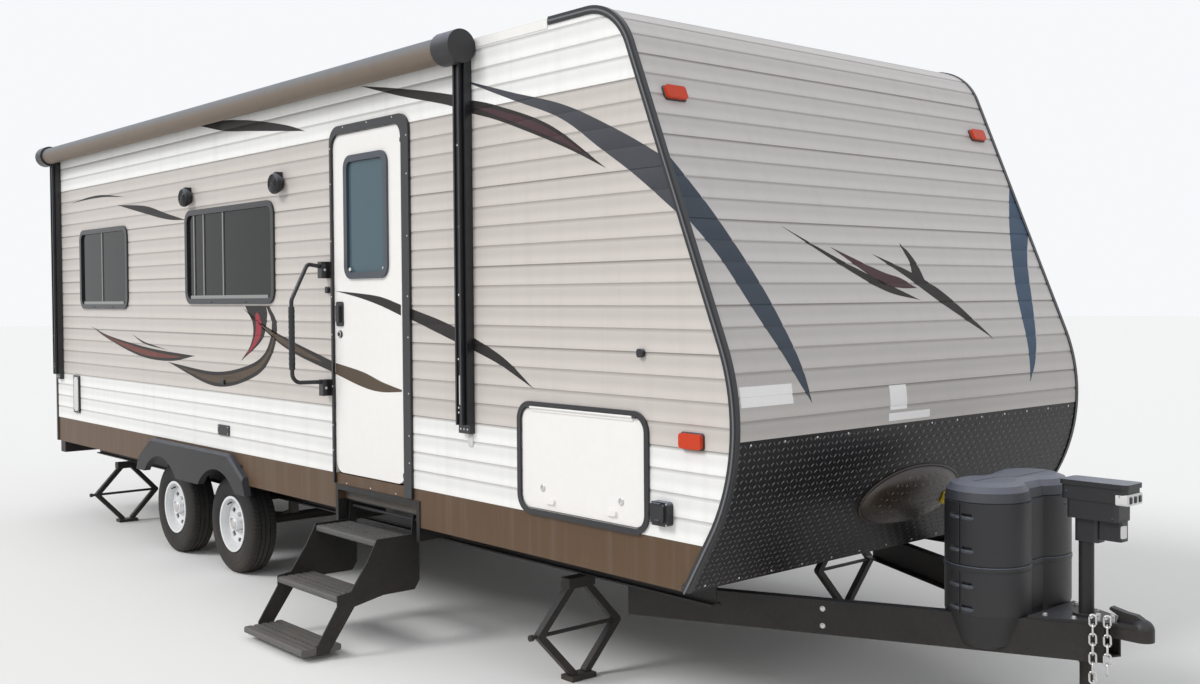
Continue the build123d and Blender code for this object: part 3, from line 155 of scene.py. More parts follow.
def split(tree, vector):
    """The three parts of a vector."""
    return wire(tree, "ShaderNodeSeparateXYZ", {0: vector}).outputs


def noise(tree, spot, scale, detail=3, rough=0.5):
    """Cloudy noise at a place."""
    return wire(tree, "ShaderNodeTexNoise",
                {"Vector": spot, "Scale": scale, "Detail": detail, "Roughness": rough}).outputs[0]


road_dust, given, result = group(
    "road_dust", (("Amount", "Float", 0.5), ("Low", "Float", GROUND), ("High", "Float", 0.4)),
    (("Mask", "Float"),))
spot = object_spot(road_dust)
fade = ranged(road_dust, split(road_dust, spot)["Z"], given["Low"], given["High"], 1.0, 0.0)
cloud = picked(road_dust, 0.3, noise(road_dust, spot, 5, 6), noise(road_dust, spot, 60))
worn = counted(road_dust, "MULTIPLY", ranged(road_dust, cloud, 0.3, 0.75, 0.1, 0.9), fade)
road_dust.links.new(counted(road_dust, "MULTIPLY", worn, given["Amount"]), result["Mask"])

rain_streaks, given, result = group("rain_streaks", (("Amount", "Float", 0.3),), (("Mask", "Float"),))
tall = wire(rain_streaks, "ShaderNodeMapping", {"Vector": object_spot(rain_streaks), "Scale": (14, 14, 0.55)})
thin = ranged(rain_streaks, noise(rain_streaks, tall.outputs[0], 1, 6, 0.6), 0.48, 0.75, 0.0, 1.0)
rain_streaks.links.new(counted(rain_streaks, "MULTIPLY", thin, given["Amount"]), result["Mask"])

fine_grain, given, result = group(
    "fine_grain", (("Scale", "Float", 300.0), ("Wave", "Float", 0.2), ("Tone", "Float", 0.1)),
    (("Height", "Float"), ("Shade", "Float")))
spot = object_spot(fine_grain)
pits = noise(fine_grain, spot, given["Scale"])
rise = counted(fine_grain, "MULTIPLY", noise(fine_grain, spot, 2.2, 2), given["Wave"])
fine_grain.links.new(counted(fine_grain, "ADD", pits, rise), result["Height"])
swing = counted(fine_grain, "MULTIPLY", ranged(fine_grain, pits, 0.25, 0.75, -1.0, 1.0), given["Tone"])
fine_grain.links.new(counted(fine_grain, "ADD", swing, 1.0), result["Shade"])

# Upward faces turn a chalky blue-grey: partly sun fade, partly a painted sheen of the sky.
sun_fade_and_sky_sheen, given, result = group("sun_fade_and_sky_sheen", (("Amount", "Float", 0.5),), (("Mask", "Float"),))
heading = wire(sun_fade_and_sky_sheen, "ShaderNodeNewGeometry").outputs["Normal"]
upward = ranged(sun_fade_and_sky_sheen, split(sun_fade_and_sky_sheen, heading)["Z"], 0.1, 0.95, 0.0, 1.0)
sun_fade_and_sky_sheen.links.new(counted(sun_fade_and_sky_sheen, "MULTIPLY", upward, given["Amount"]), result["Mask"])

DUST = (0.36, 0.28, 0.2, 1)
# Blue-grey of sun-faded black plastic, with a painted sky sheen in it.
CHALK_AND_SKY_SHEEN = (0.18, 0.197, 0.25, 1)
RAIN_DIRT = (0.2, 0.17, 0.14, 1)


def placed(tree, effect, **inputs):
    """Puts a group into a material and gives its outputs."""
    made = wire(tree, "ShaderNodeGroup", node_tree=effect)
    for key, value in inputs.items():
        made.inputs[key].default_value = value
    return made.outputs


def blended(tree, mask, first, second):
    """A colour between two, by a mask."""
    return wire(tree, "ShaderNodeMix", {0: mask, 6: first, 7: second}, data_type="RGBA").outputs[2]


def dimmed(tree, colour, shade):
    """A colour made lighter or darker."""
    return wire(tree, "ShaderNodeVectorMath", {0: colour, 3: shade}, operation="SCALE").outputs[0]


def raised(tree, height, distance, strength=1.0):
    """The bump of a height."""
    return wire(tree, "ShaderNodeBump", {"Strength": strength, "Distance": distance, "Height": height})


def coated(name, colour, rough, metal=0.0, coat=0.0, grain=400.0, bump=0.04, dust=0.3, high=0.5,
           streaks=0.0, tone=0.08, fade_and_sheen=0.0, gloss=0.5):
    """A painted, moulded or rolled surface, with grain, dust low down, rain streaks, and sun fade with a
    painted sky sheen on top.
    """
    material, tree = blank_material(name)
    texture = placed(tree, fine_grain, Scale=grain, Tone=tone)
    dirt = placed(tree, road_dust, Amount=dust, High=high)[0]
    base = dimmed(tree, colour, texture["Shade"])
    if fade_and_sheen:
        base = blended(tree, placed(tree, sun_fade_and_sky_sheen, Amount=fade_and_sheen)[0], base, CHALK_AND_SKY_SHEEN)
    base = blended(tree, dirt, base, DUST)
    if streaks:
        base = blended(tree, placed(tree, rain_streaks, Amount=streaks)[0], base, RAIN_DIRT)
    shaded(tree, {
        "Base Color": base, "Roughness": ranged(tree, dirt, 0, 1, rough, 0.95), "Metallic": metal,
        "Coat Weight": coat, "Specular IOR Level": gloss, "Coat Roughness": 0.15,
        "Normal": raised(tree, texture["Height"], bump / 100).outputs[0]})
    return material


def finish(material, *names):
    """Gives CAD nodes their material."""
    for name in names:
        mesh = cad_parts[name].data
        mesh.materials.clear()
        mesh.materials.append(material)


# Frame: rails, cross members, tongue, coupler, axles, springs, stabilisers and bumper
# Rolled and welded steel under thin black enamel, dusty from the road. Bolts hold the coupler to the tongue.
black_enamel = coated("black_enamel", (0.012, 0.012, 0.013), 0.45, grain=160, bump=0.06, dust=0.14,
                      high=0.45, fade_and_sheen=0.15, gloss=0.3)
finish(black_enamel, "chassis_rails", "cross_members", "tongue_rails", "coupler", "stabilisers",
       "rear_bumper", "tongue_jack", "axles", "step_sides", "step_box")
finish(coated("spring_steel", (0.05, 0.045, 0.042), 0.55, metal=0.5, grain=90, bump=0.08, dust=0.35),
       "springs")
zinc = coated("zinc_plate", (0.62, 0.61, 0.6), 0.34, metal=0.75, grain=220, bump=0.02, dust=0.12, high=0.1)
REAR_FACE = -8.265
PLATE_TOP = 472.5
RAILS_MEET, RAIL_SLOPE, RAIL_OUT = 8288, 0.4663, (0.4226, 0.9063)


def at(x, y, z):
    """A place given in millimetres from the rear wall, the middle line and the ground."""
    return Vector((x / 1000 + REAR_FACE, y / 1000, z / 1000 + GROUND))


def facing(spot, out, up=None):
    """A frame at a spot: its third axis points outward and its second one up, or forward on a level face."""
    if up is None:
        up = (0, 0, 1) if abs(Vector(out).z) < 0.9 else (1, 0, 0)
    outward = Vector(out).normalized()
    across = Vector(up).cross(outward).normalized()
    return Matrix.Translation(spot) @ Matrix((across, outward.cross(across), outward)).transposed().to_4x4()


def ring(radius, sides):
    """Points round a circle."""
    return [(radius * cos(2 * pi * i / sides), radius * sin(2 * pi * i / sides)) for i in range(sides)]


def oblong(wide, high, corner, steps=4):
    """Points round a rectangle with rounded corners."""
    points = []
    for quarter, (right, top) in enumerate(((1, 1), (-1, 1), (-1, -1), (1, -1))):
        for step in range(steps + 1):
            turn = pi / 2 * (quarter + step / steps)
            points.append((right * (wide / 2 - corner) + corner * cos(turn),
                           top * (high / 2 - corner) + corner * sin(turn)))
    return points


def skinned(shape, rings, closed=False):
    """A closed skin through rings of places: its ends are capped, or joined where the run is closed."""
    rows = [[shape.verts.new(spot) for spot in places] for places in rings]
    for lower, upper in list(zip(rows, rows[1:])) + ([(rows[-1], rows[0])] if closed else []):
        for i in range(len(lower)):
            j = (i + 1) % len(lower)
            shape.faces.new((lower[i], lower[j], upper[j], upper[i]))
    if not closed:
        shape.faces.new(rows[0][::-1])
        shape.faces.new(rows[-1])


def stacked(shape, place, *levels):
    """A solid through like outlines on a frame. Levels are (outline, height), lowest first."""
    skinned(shape, [[place @ Vector((u, v, height)) for u, v in outline] for outline, height in levels])


def turned(shape, place, sides, *levels):
    """A solid of circles with so many sides. Levels are (radius, height), lowest first."""
    stacked(shape, place, *[(ring(radius, sides), height) for radius, height in levels])


def screw(shape, spot, out, radius=0.0045, height=0.0022):
    """A domed screw head with a recess in its top."""
    turned(shape, facing(spot, out), 12, (radius, 0), (radius, height * 0.3), (radius * 0.8, height * 0.8),
           (radius * 0.42, height), (radius * 0.3, height * 0.5))


def bolt(shape, spot, out, radius, height):
    """A hexagonal head or nut with its corners turned off, on a washer."""
    place = facing(spot, out)
    turned(shape, place, 18, (radius * 1.25, 0), (radius * 1.25, height * 0.15))
    turned(shape, place, 6, (radius, height * 0.15), (radius, height * 0.8), (radius * 0.78, height))


def made(name, shape, material, slot, body="caravan"):
    """Makes a piece of a shape: smooth with its sharp edges kept, with its material, riding on a body."""
    bmesh.ops.recalc_face_normals(shape, faces=shape.faces)
    mesh = bpy.data.meshes.new(name)
    shape.to_mesh(mesh)
    shape.free()
    mesh.polygons.foreach_set("use_smooth", [True] * len(mesh.polygons))
    mesh.set_sharp_from_angle(angle=radians(35))
    mesh.materials.append(material)
    piece = bpy.data.objects.new(name, mesh)
    bpy.context.scene.collection.objects.link(piece)
    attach(piece, body)
    return piece


shape = bmesh.new()
for side in (-1, 1):
    for x, y in ((7940, 120), (8040, 88)):
        bolt(shape, at(x, side * y, PLATE_TOP), (0, 0, 1), 0.009, 0.009)
    for z in (355, 425):
        spot = at(7180, side * RAIL_SLOPE * (RAILS_MEET - 7180), z)
        bolt(shape, spot, (RAIL_OUT[0], side * RAIL_OUT[1], 0), 0.009, 0.008)
made("frame_bolts", shape, zinc, "zinc_steel")

# Safety chains: two short lengths of welded links, with a snap hook on the longer one
# Bent and butt-welded wire, zinc plated. Each link hangs at right angles to the one above it.
WIRE, LINK_HALF, LINK_TALL, PITCH = 0.004, 0.012, 0.022, 0.0357
# place along and across, links, place of the lug
STRANDS = ((8122, -99.4, 7, -56), (8168, -78, 6, -35))
TOP_LINK, PIN_HEIGHT = 482, 495
HOOK = ((0.002, 0.012), (0.009, 0.004), (0.006, -0.014), (-0.004, -0.034), (-0.017, -0.050), (-0.032, -0.050),
        (-0.038, -0.036), (-0.033, -0.022), (-0.026, -0.014))
# point of the hook, and the place of its sprung bar from there
SNAP = ((2, -0.004, 0), (6, 0.006, 0.010), (7, 0.003, 0.006))


def rod(shape, line, radius, sides=8, closed=False):
    """A round bar along a line of places."""
    rings = []
    for i, spot in enumerate(line):
        after = line[(i + 1) % len(line)] if closed or i + 1 < len(line) else spot
        before = line[i - 1] if closed or i else spot
        along = (after - before).normalized()
        upright = abs(along.z) >= 0.9
        side = along.cross(Vector((0.96, 0.2, 0.1) if upright else (0.31, 0.17, 0.93))).normalized()
        top = along.cross(side)
        rings.append([spot + radius * (side * u + top * v) for u, v in ring(1, sides)])
    skinned(shape, rings, closed)


def link_line(centre, across):
    """The middle line of a link: two straight legs between two half circles."""
    line = []
    for step in range(20):
        turn = 2 * pi * step / 20
        leg = LINK_TALL - LINK_HALF if sin(turn) > 0 else LINK_HALF - LINK_TALL
        line.append(centre + across * (LINK_HALF * cos(turn)) + Vector((0, 0, LINK_HALF * sin(turn) + leg)))
    return line


def pad(shape, place, foot, thick, top, height, start=0):
    """A block with rounded corners and an eased top. Foot and top are (width, height, corner)."""
    stacked(shape, place, (oblong(*foot), start), (oblong(*foot), thick), (oblong(*top), height))


shape = bmesh.new()
for x, y, links, _ in STRANDS:
    for row in range(links):
        turn = radians(25) + row % 2 * pi / 2
        centre = at(x, y, TOP_LINK) - Vector((0, 0, row * PITCH))
        rod(shape, link_line(centre, Vector((cos(turn), sin(turn), 0))), WIRE, closed=True)
x, y, links, _ = STRANDS[0]
eye = at(x, y, TOP_LINK) - Vector((0, 0, (links - 1) * PITCH + LINK_TALL))
hook = [eye + Vector((u, 0, v)) for u, v in HOOK]
rod(shape, hook, 0.0048, 10)
rod(shape, [hook[i] + Vector((u, 0, v)) for i, u, v in SNAP], 0.0022)
for x, y, _, lug_y in STRANDS:
    rod(shape, [at(x, y - 11, PIN_HEIGHT), at(x, y, PIN_HEIGHT), at(x, lug_y + 4, PIN_HEIGHT)], 0.0045, 12)
    pad(shape, facing(at(x, lug_y, PLATE_TOP + 0.1), (0, 0, 1), (0, 1, 0)), (0.018, 0.008, 0.002), 0.029,
        (0.012, 0.006, 0.001), 0.03)
chains = made("chain_links", shape, zinc, "zinc_steel")
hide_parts("safety_chains")

# Jack: moulded head with its switch panel, over a steel post
# The head is black polypropylene. The panel and the small work lamp are pale plastic set into its front end.
black_plastic = coated("black_plastic", (0.013, 0.013, 0.015), 0.4, grain=900, bump=0.1, dust=0.06,
                       high=0.2, fade_and_sheen=0.8)
finish(black_plastic, "tongue_jack_head", "awning_end_caps", "air_conditioner", "door_lock")
pale_plastic = coated("pale_plastic", (0.62, 0.62, 0.61), 0.4, grain=500, bump=0.04, dust=0.05)
JACK_SCREWS = ((7985, -55.2, 900), (8175, -55.2, 862), (7995, -60.2, 950), (8205, -60.2, 950))
shape = bmesh.new()
pad(shape, facing(at(8190, 0, 938), (1, 0, 0)), (0.124, 0.042, 0.008), 0.0435, (0.118, 0.036, 0.006), 0.0455)
pad(shape, facing(at(8196.5, -12, 812), (1, -0.15, 0)), (0.034, 0.048, 0.006), 0.003,
    (0.028, 0.042, 0.005), 0.004)
made("jack_switch_panel", shape, pale_plastic, "white_plastic")
shape = bmesh.new()
for y in (-36, 0, 36):
    pad(shape, facing(at(8235, y, 938), (1, 0, 0)), (0.018, 0.026, 0.003), 0.003,
        (0.014, 0.020, 0.003), 0.005)
for spot in JACK_SCREWS:
    screw(shape, at(*spot), (0, -1, 0), 0.005, 0.002)
made("jack_switches", shape, black_plastic, "black_plastic")

# Gas bottle cover: two moulded halves with a lid, louvres and a ledge round the waist
# Rotationally moulded black polyethylene, held down by a rod through the lid.
finish(black_plastic, "gas_cover", "gas_base")
GAS_X, GAS_HALF, GAS_RADIUS, GAS_WAIST = 7715, 155, 165, 125
LOBE_STEPS, LIP_STEPS, LIP_LONG = 28, 8, 56
LEDGE = ((631, 0.2), (637, 2.4), (645, 3.2), (653, 2.4), (655, 0.2), (643, -1.5))


def lobes(z, grow):
    """Places round the two-lobed cover at a height, all in millimetres."""
    waist = acos((GAS_WAIST + grow) / (GAS_RADIUS + grow))
    places = []
    for side in (-1, 1):
        for step in range(LOBE_STEPS + 1):
            turn = side * ((pi + 2 * waist) * step / LOBE_STEPS - waist)
            places.append(at(GAS_X + (GAS_RADIUS + grow) * cos(turn),
                             side * GAS_HALF + (GAS_RADIUS + grow) * sin(turn), z))
    return places[:LOBE_STEPS + 1] + places[LOBE_STEPS + 1:][::-1]


shape = bmesh.new()
skinned(shape, [lobes(z, grow) for z, grow in LEDGE], closed=True)
made("gas_cover_ledge", shape, black_plastic, "black_plastic")
shape = bmesh.new()
for z in (498, 587, 724, 853):
    for side in (-1, 1):
        for reach in (-30, 30):
            lip = []
            for step in range(LIP_STEPS + 1):
                share = step / LIP_STEPS
                along = GAS_X - 20 + reach + (share - 0.5) * LIP_LONG
                face = GAS_HALF + (GAS_RADIUS ** 2 - (along - GAS_X) ** 2) ** 0.5
                swell = sin(pi * share) ** 0.6 if 0 < share < 1 else 0.0
                outline = ((-1.5, -5.2), (5.6 * swell - 0.4, -6.4), (6.4 * swell - 0.2, -9.4 - swell),
                           (2.6 * swell - 0.4, -14 - 4 * swell), (-1.5, -14.6 - 4 * swell))
                lip.append([at(along, side * (face + out), z + low) for out, low in outline])
            skinned(shape, lip)
# The louvre lips are a lighter, bluer black than the cover: a painted sheen of the sky on their tops.
lip_sky_sheen = coated("lip_sky_sheen", (0.045, 0.048, 0.058), 0.3, coat=0.4, grain=500, bump=0.06, dust=0.05,
                  fade_and_sheen=0.9)
made("gas_cover_louvres", shape, lip_sky_sheen, "black_plastic")

# Wheels: bias-ply trailer tyres on white pressed-steel rims with eight holes
# The tread has three grooves and cut shoulders. Five nuts hold each rim, and a rubber valve stands in it.
tyre_rubber = coated("tyre_rubber", (0.02, 0.02, 0.0205), 0.75, grain=260, bump=0.1, dust=0.15, high=0.05,
                     gloss=0.3)
rim_paint = coated("rim_paint", (0.74, 0.75, 0.76), 0.3, coat=0.3, grain=120, bump=0.01, dust=0.14,
                   high=0.1, tone=0.02)
WHEELS = {"front_left": (3040, 1), "front_right": (3040, -1),
          "rear_left": (2162, 1), "rear_right": (2162, -1)}
HALF_TRACK, AXLE_HEIGHT, NUT_CIRCLE, VALVE_CIRCLE = 1077, 305, 57, 150
# radius and half width, from the rim out to the middle of the tread
SIDEWALL = ((166, 68.5), (172, 70.5), (178, 73), (184, 78.5), (188, 80.5), (192, 80.5), (196, 82),
            (206, 86), (222, 87.4), (240, 88), (243, 88), (246, 86.8), (262, 85.6), (265, 85.8),
            (268, 84.6), (282, 81), (292, 75))
TREAD = ((300, 68), (304, 58), (305, 45), (305, 34), (304.9, 33), (297.5, 32), (297.5, 27), (305, 26),
         (305, 15), (305, 5.5), (304.9, 4.5), (297.5, 3.5))
TYRE_HALF = [*SIDEWALL, *TREAD]
TYRE = TYRE_HALF + [(radius, -half) for radius, half in TYRE_HALF[::-1]] + [(168, -50), (168, 50)]
SPOKES, SHOULDER_CUT, EDGE_CUT, MIDDLE_CUT = 216, 5.5, 2.5, 5.0


def cut_depth(spoke, radius, half):
    """How deep the tread is cut: at every third spoke in the shoulders, every ninth beside the middle."""
    if spoke % 9 == 4 and radius > 300 and abs(half) < 16:
        return MIDDLE_CUT
    if spoke % 3 == 0 and radius > 285 and abs(half) > 33.5:
        return SHOULDER_CUT if abs(half) < 70 else EDGE_CUT
    return 0.0


def on_wheel(axle_x, side, radius, turn, out):
    """A place on a wheel: its distance from the axle, its turn, and how far out from the tyre's middle."""
    return at(axle_x + radius * cos(turn), side * (HALF_TRACK + out), AXLE_HEIGHT + radius * sin(turn))


for corner, (axle_x, side) in WHEELS.items():
    body = "wheel_" + corner
    shape = bmesh.new()
    rings = []
    for spoke in range(SPOKES):
        places = []
        for radius, half in TYRE:
            lean = 0.35 * (abs(half) - 45) / 40 * 2 * pi / SPOKES
            turn = 2 * pi * spoke / SPOKES + lean
            places.append(on_wheel(axle_x, side, radius - cut_depth(spoke, radius, half), turn, half))
        rings.append(places)
    skinned(shape, rings, closed=True)
    tyre = made("treaded_tyre_" + corner, shape, tyre_rubber, "tyre", body)
    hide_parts("tyre_" + corner)
    finish(rim_paint, "rim_" + corner)
    shape = bmesh.new()
    for nut in range(5):
        spot = on_wheel(axle_x, side, NUT_CIRCLE, 2 * pi * nut / 5 + 0.3, 23.8)
        bolt(shape, spot, (0, side, 0), 0.0115, 0.018)
    turned(shape, facing(on_wheel(axle_x, side, 0, 0, 67.8), (0, side, 0)), 28,
           (0.0325, -0.004), (0.0325, 0.0015), (0.029, 0.0045), (0.018, 0.0065), (0.006, 0.007))
    made("wheel_nuts_" + corner, shape, zinc, "zinc_steel", body)
    shape = bmesh.new()
    turned(shape, facing(on_wheel(axle_x, side, VALVE_CIRCLE, 2.2, 40), (0.35, side, -0.3)), 12,
           (0.007, 0), (0.005, 0.012), (0.004, 0.024), (0.005, 0.025), (0.005, 0.033), (0.003, 0.035))
    made("tyre_valve_" + corner, shape, black_plastic, "black_plastic", body)

# Body sheeting: rolled aluminium, grey between white bands, and a brown skirt sheet below
# The sheets lap at every fourth bead, and the colours change at those laps. The raked front is grey all
# over.
COLOUR_LINE, TOP_LINE = 1.1344 + GROUND, 2.56 + GROUND
SIDE_FACE, FRONT_START, FRONT_HALF = 1.219, -1.76, 1.2152
GREY = (0.575, 0.53, 0.495, 1)
WHITE = (0.84, 0.835, 0.815, 1)
paint_bands, given, result = group(
    "paint_bands", (("Low", "Color", WHITE), ("Middle", "Color", GREY), ("Front", "Color", GREY)),
    (("Paint", "Color"),))
place_x, place_y, place_z = split(paint_bands, object_spot(paint_bands))
over = counted(paint_bands, "GREATER_THAN", place_z, COLOUR_LINE)
top = counted(paint_bands, "GREATER_THAN", place_z, TOP_LINE)
ahead = counted(paint_bands, "GREATER_THAN", place_x, FRONT_START)
inside = counted(paint_bands, "LESS_THAN", counted(paint_bands, "ABSOLUTE", place_y), FRONT_HALF)
lower = blended(paint_bands, over, given["Low"], given["Middle"])
sides = blended(paint_bands, top, lower, given["Low"])
# The front is painted darker towards its lower part: painted shade where the nose faces the ground.
painted_nose_shade = ranged(paint_bands, place_z, 0.7, 1.35, 0.5, 0.0)
front = blended(paint_bands, painted_nose_shade, given["Front"], (0.3, 0.275, 0.25, 1))
paint = blended(paint_bands, counted(paint_bands, "MULTIPLY", ahead, inside), sides, front)
paint_bands.links.new(paint, result["Paint"])

BEAD, CREASE_DEEP, CREASE_DOWN, CREASE_UP, LAP_UP = 0.0891, 0.003, 0.016, 0.005, 0.002
SIDE_FIRST, FRONT_FIRST = 0.328, 0.023
ROOF_ARC, ROOF_CENTRE = 0.28, (-1.7141, 2.15)
NOSE_ARC, NOSE_CENTRE = 0.8, (-1.7076, 0.7754)
SLOPE, TOE_SLOPE = radians(22.497), radians(-31.37)
SLOPE_TOP, SLOPE_RUN = (-1.4554, 2.2571), 1.2724
NOSE_END = (-1.0245, 0.3589)
AT_SLOPE = ROOF_ARC * (pi / 2 - SLOPE)
AT_NOSE = AT_SLOPE + SLOPE_RUN
AT_TOE = AT_NOSE + NOSE_ARC * (SLOPE - TOE_SLOPE)

# the roll-formed profile: how deep a point lies in a crease, with painted shade in the creases, the slight
# crown between two creases, and a painted shade band across each bead
beads, given, result = group("rolled_beads", (("Dirt", "Float", 0.5), ("Lap", "Float", 0.7)),
                             (("Mask", "Float"), ("Crown", "Float"), ("Shade", "Float")))
sums, either = partial(counted, beads), partial(picked, beads)
place_x, place_y, place_z = split(beads, object_spot(beads))
wide = sums("ABSOLUTE", place_y)
between = sums("LESS_THAN", wide, FRONT_HALF)
on_nose_side = sums("MULTIPLY", between, sums("GREATER_THAN", place_x, FRONT_START))
on_rear = sums("MULTIPLY", between, sums("LESS_THAN", place_x, REAR_FACE + 0.02))


def arc_depth_and_way(centre, radius, travelled):
    """How deep a point lies under an arc of the front, and its way down from the roof."""
    right = sums("SUBTRACT", place_x, centre[0])
    rise = sums("SUBTRACT", place_z, centre[1])
    away = sums("SQRT", sums("ADD", sums("MULTIPLY", right, right), sums("MULTIPLY", rise, rise)))
    way = sums("SUBTRACT", travelled, sums("MULTIPLY", sums("ARCTAN2", rise, right), radius))
    return sums("SUBTRACT", radius, away), way


roof_deep, roof_way = arc_depth_and_way(ROOF_CENTRE, ROOF_ARC, ROOF_ARC * pi / 2)
nose_deep, nose_way = arc_depth_and_way(NOSE_CENTRE, NOSE_ARC, AT_NOSE + NOSE_ARC * SLOPE)
across = sums("ADD", sums("MULTIPLY", place_x, cos(SLOPE)), sums("MULTIPLY", place_z, sin(SLOPE)))
slope_deep = sums("SUBTRACT", SLOPE_TOP[0] * cos(SLOPE) + SLOPE_TOP[1] * sin(SLOPE), across)
slope_way = sums("ADD", sums("MULTIPLY", sums("SUBTRACT", SLOPE_TOP[1], place_z), 1 / cos(SLOPE)), AT_SLOPE)
above = sums("GREATER_THAN", place_z, SLOPE_TOP[1])
below = sums("LESS_THAN", place_z, SLOPE_TOP[1] - SLOPE_RUN * cos(SLOPE))
front_deep = either(above, either(below, slope_deep, nose_deep), roof_deep)
front_way = either(above, either(below, slope_way, nose_way), roof_way)
body_deep = either(on_nose_side, sums("SUBTRACT", SIDE_FACE, wide), front_deep)
deep = either(on_rear, body_deep, sums("SUBTRACT", place_x, REAR_FACE))
row_way = either(on_nose_side, sums("SUBTRACT", place_z, SIDE_FIRST),
                 sums("SUBTRACT", front_way, FRONT_FIRST))
turn = sums("FRACT", sums("DIVIDE", row_way, BEAD))
fourth = sums("FRACT", sums("ADD", sums("DIVIDE", row_way, 4 * BEAD), 0.5))
at_lap = sums("LESS_THAN", sums("ABSOLUTE", sums("SUBTRACT", fourth, 0.5)), 0.06)
# How dark the painted crease shade is: one strength in ordinary creases, a stronger one at the laps.
strength = either(at_lap, given["Dirt"], given["Lap"])
in_crease = ranged(beads, deep, 0.0004, CREASE_DEEP, 0.0, 1.0)
beads.links.new(sums("MULTIPLY", in_crease, strength), result["Mask"])
left = sums("SUBTRACT", 1.0, turn)
# Painted shade across each bead: lighter just above its crease, darker below the next one.
lit = ranged(beads, either(on_nose_side, turn, left), 0.2, 0.62, 1.07, 0.91, interpolation_type="SMOOTHSTEP")
beads.links.new(lit, result["Shade"])
beads.links.new(sums("MULTIPLY", sums("MULTIPLY", turn, left), 4.0), result["Crown"])

sheet_paint, tree = blank_material("sheet_paint")
paint = placed(tree, paint_bands, Low=WHITE, Middle=GREY, Front=(0.535, 0.515, 0.505, 1))[0]
rows = placed(tree, beads, Dirt=0.45, Lap=0.75)
# The paint is made lighter above each crease and darker below the next: painted shade across the beads.
base = dimmed(tree, paint, rows["Shade"])
base = blended(tree, placed(tree, rain_streaks, Amount=0.1)[0], base, (0.3, 0.27, 0.24, 1))
base = blended(tree, placed(tree, road_dust, Amount=0.12, High=0.7)[0], base, DUST)
# Creases darkened to a brown-black: painted shade in the creases.
base = blended(tree, rows["Mask"], base, (0.13, 0.115, 0.1, 1))
texture = placed(tree, fine_grain, Scale=60.0, Wave=6.0)
relief = raised(tree, texture["Height"], 0.002, 0.35)
tree.links.new(raised(tree, rows["Crown"], 0.0028).outputs[0], relief.inputs["Normal"])
shaded(tree, {"Base Color": base, "Roughness": 0.42, "Coat Weight": 0.12, "Coat Roughness": 0.25,
              "Normal": relief.outputs[0]})
finish(sheet_paint, "siding")
finish(coated("wall_board", (0.7, 0.69, 0.67), 0.5, grain=120, bump=0.03, dust=0.1, tone=0.04),
       "wall_door_side", "wall_road_side", "wall_rear", "wall_front")
finish(coated("brown_sheet", (0.1, 0.058, 0.031), 0.42, gloss=0.25, grain=120, bump=0.03, dust=0.15, high=0.4,
              streaks=0.25, tone=0.04), "skirts")
finish(coated("roof_membrane", (0.75, 0.75, 0.74), 0.8, grain=90, bump=0.1, dust=0.0), "roof")
finish(coated("deck_board", (0.1, 0.09, 0.08), 0.8, grain=40, bump=0.2, dust=0.3), "floor")

# Stripes: cut vinyl film in black, slate, blue, maroon, brown and red, and blank paper labels
# The film is pressed into the creases of the sheets, so each stripe is cut there and follows their depth.
SIDE_CREASES = [(SIDE_FIRST + row * BEAD, CREASE_UP if row % 4 else LAP_UP) for row in range(1, 24)]
FRONT_CREASES = [(-FRONT_FIRST - row * BEAD, CREASE_UP if row % 4 else LAP_UP) for row in range(22)]
NOSE_CUTS = [-1.6 - 0.03 * step for step in range(12)]
CURVE_STEPS, FILM_STEPS = 14, 44
FILM_BACK, FILM_FACE, UPPER_FILM_FACE = 0.0001, 0.0006, 0.001
SIDES = ((-1, "door_side"), (1, "road_side"))


def front_line(travel):
    """The front's outer line: place and outward normal, by the way down from the roof."""
    if travel < 0:
        return Vector((ROOF_CENTRE[0] + travel, 0, ROOF_CENTRE[1] + ROOF_ARC)), Vector((0, 0, 1))
    if travel < AT_SLOPE:
        turn = pi / 2 - travel / ROOF_ARC
        normal = Vector((cos(turn), 0, sin(turn)))
        return Vector((ROOF_CENTRE[0], 0, ROOF_CENTRE[1])) + ROOF_ARC * normal, normal
    if travel < AT_NOSE:
        down = travel - AT_SLOPE
        return (Vector((SLOPE_TOP[0] + down * sin(SLOPE), 0, SLOPE_TOP[1] - down * cos(SLOPE))),
                Vector((cos(SLOPE), 0, sin(SLOPE))))
    if travel < AT_TOE:
        turn = SLOPE - (travel - AT_NOSE) / NOSE_ARC
        normal = Vector((cos(turn), 0, sin(turn)))
        return Vector((NOSE_CENTRE[0], 0, NOSE_CENTRE[1])) + NOSE_ARC * normal, normal
    down = travel - AT_TOE
    return (Vector((NOSE_END[0] + down * sin(TOE_SLOPE), 0, NOSE_END[1] - down * cos(TOE_SLOPE))),
            Vector((cos(TOE_SLOPE), 0, sin(TOE_SLOPE))))


def way_down(z):
    """How far down the front's line a height is."""
    if z > SLOPE_TOP[1]:
        return ROOF_ARC * (pi / 2 - asin((z - ROOF_CENTRE[1]) / ROOF_ARC))
    if z > SLOPE_TOP[1] - SLOPE_RUN * cos(SLOPE):
        return AT_SLOPE + (SLOPE_TOP[1] - z) / cos(SLOPE)
    if z > NOSE_END[1]:
        return AT_NOSE + NOSE_ARC * (SLOPE - asin((z - NOSE_CENTRE[1]) / NOSE_ARC))
    return AT_TOE + (NOSE_END[1] - z) / cos(TOE_SLOPE)


def dent(height, creases):
    """How deep a sheet is pressed in at a height along it."""
    for level, up in creases:
        if level - CREASE_DOWN < height < level + up:
            gap = level - height
            return CREASE_DEEP * (1 - (gap / CREASE_DOWN if gap > 0 else -gap / up))
    return 0.0


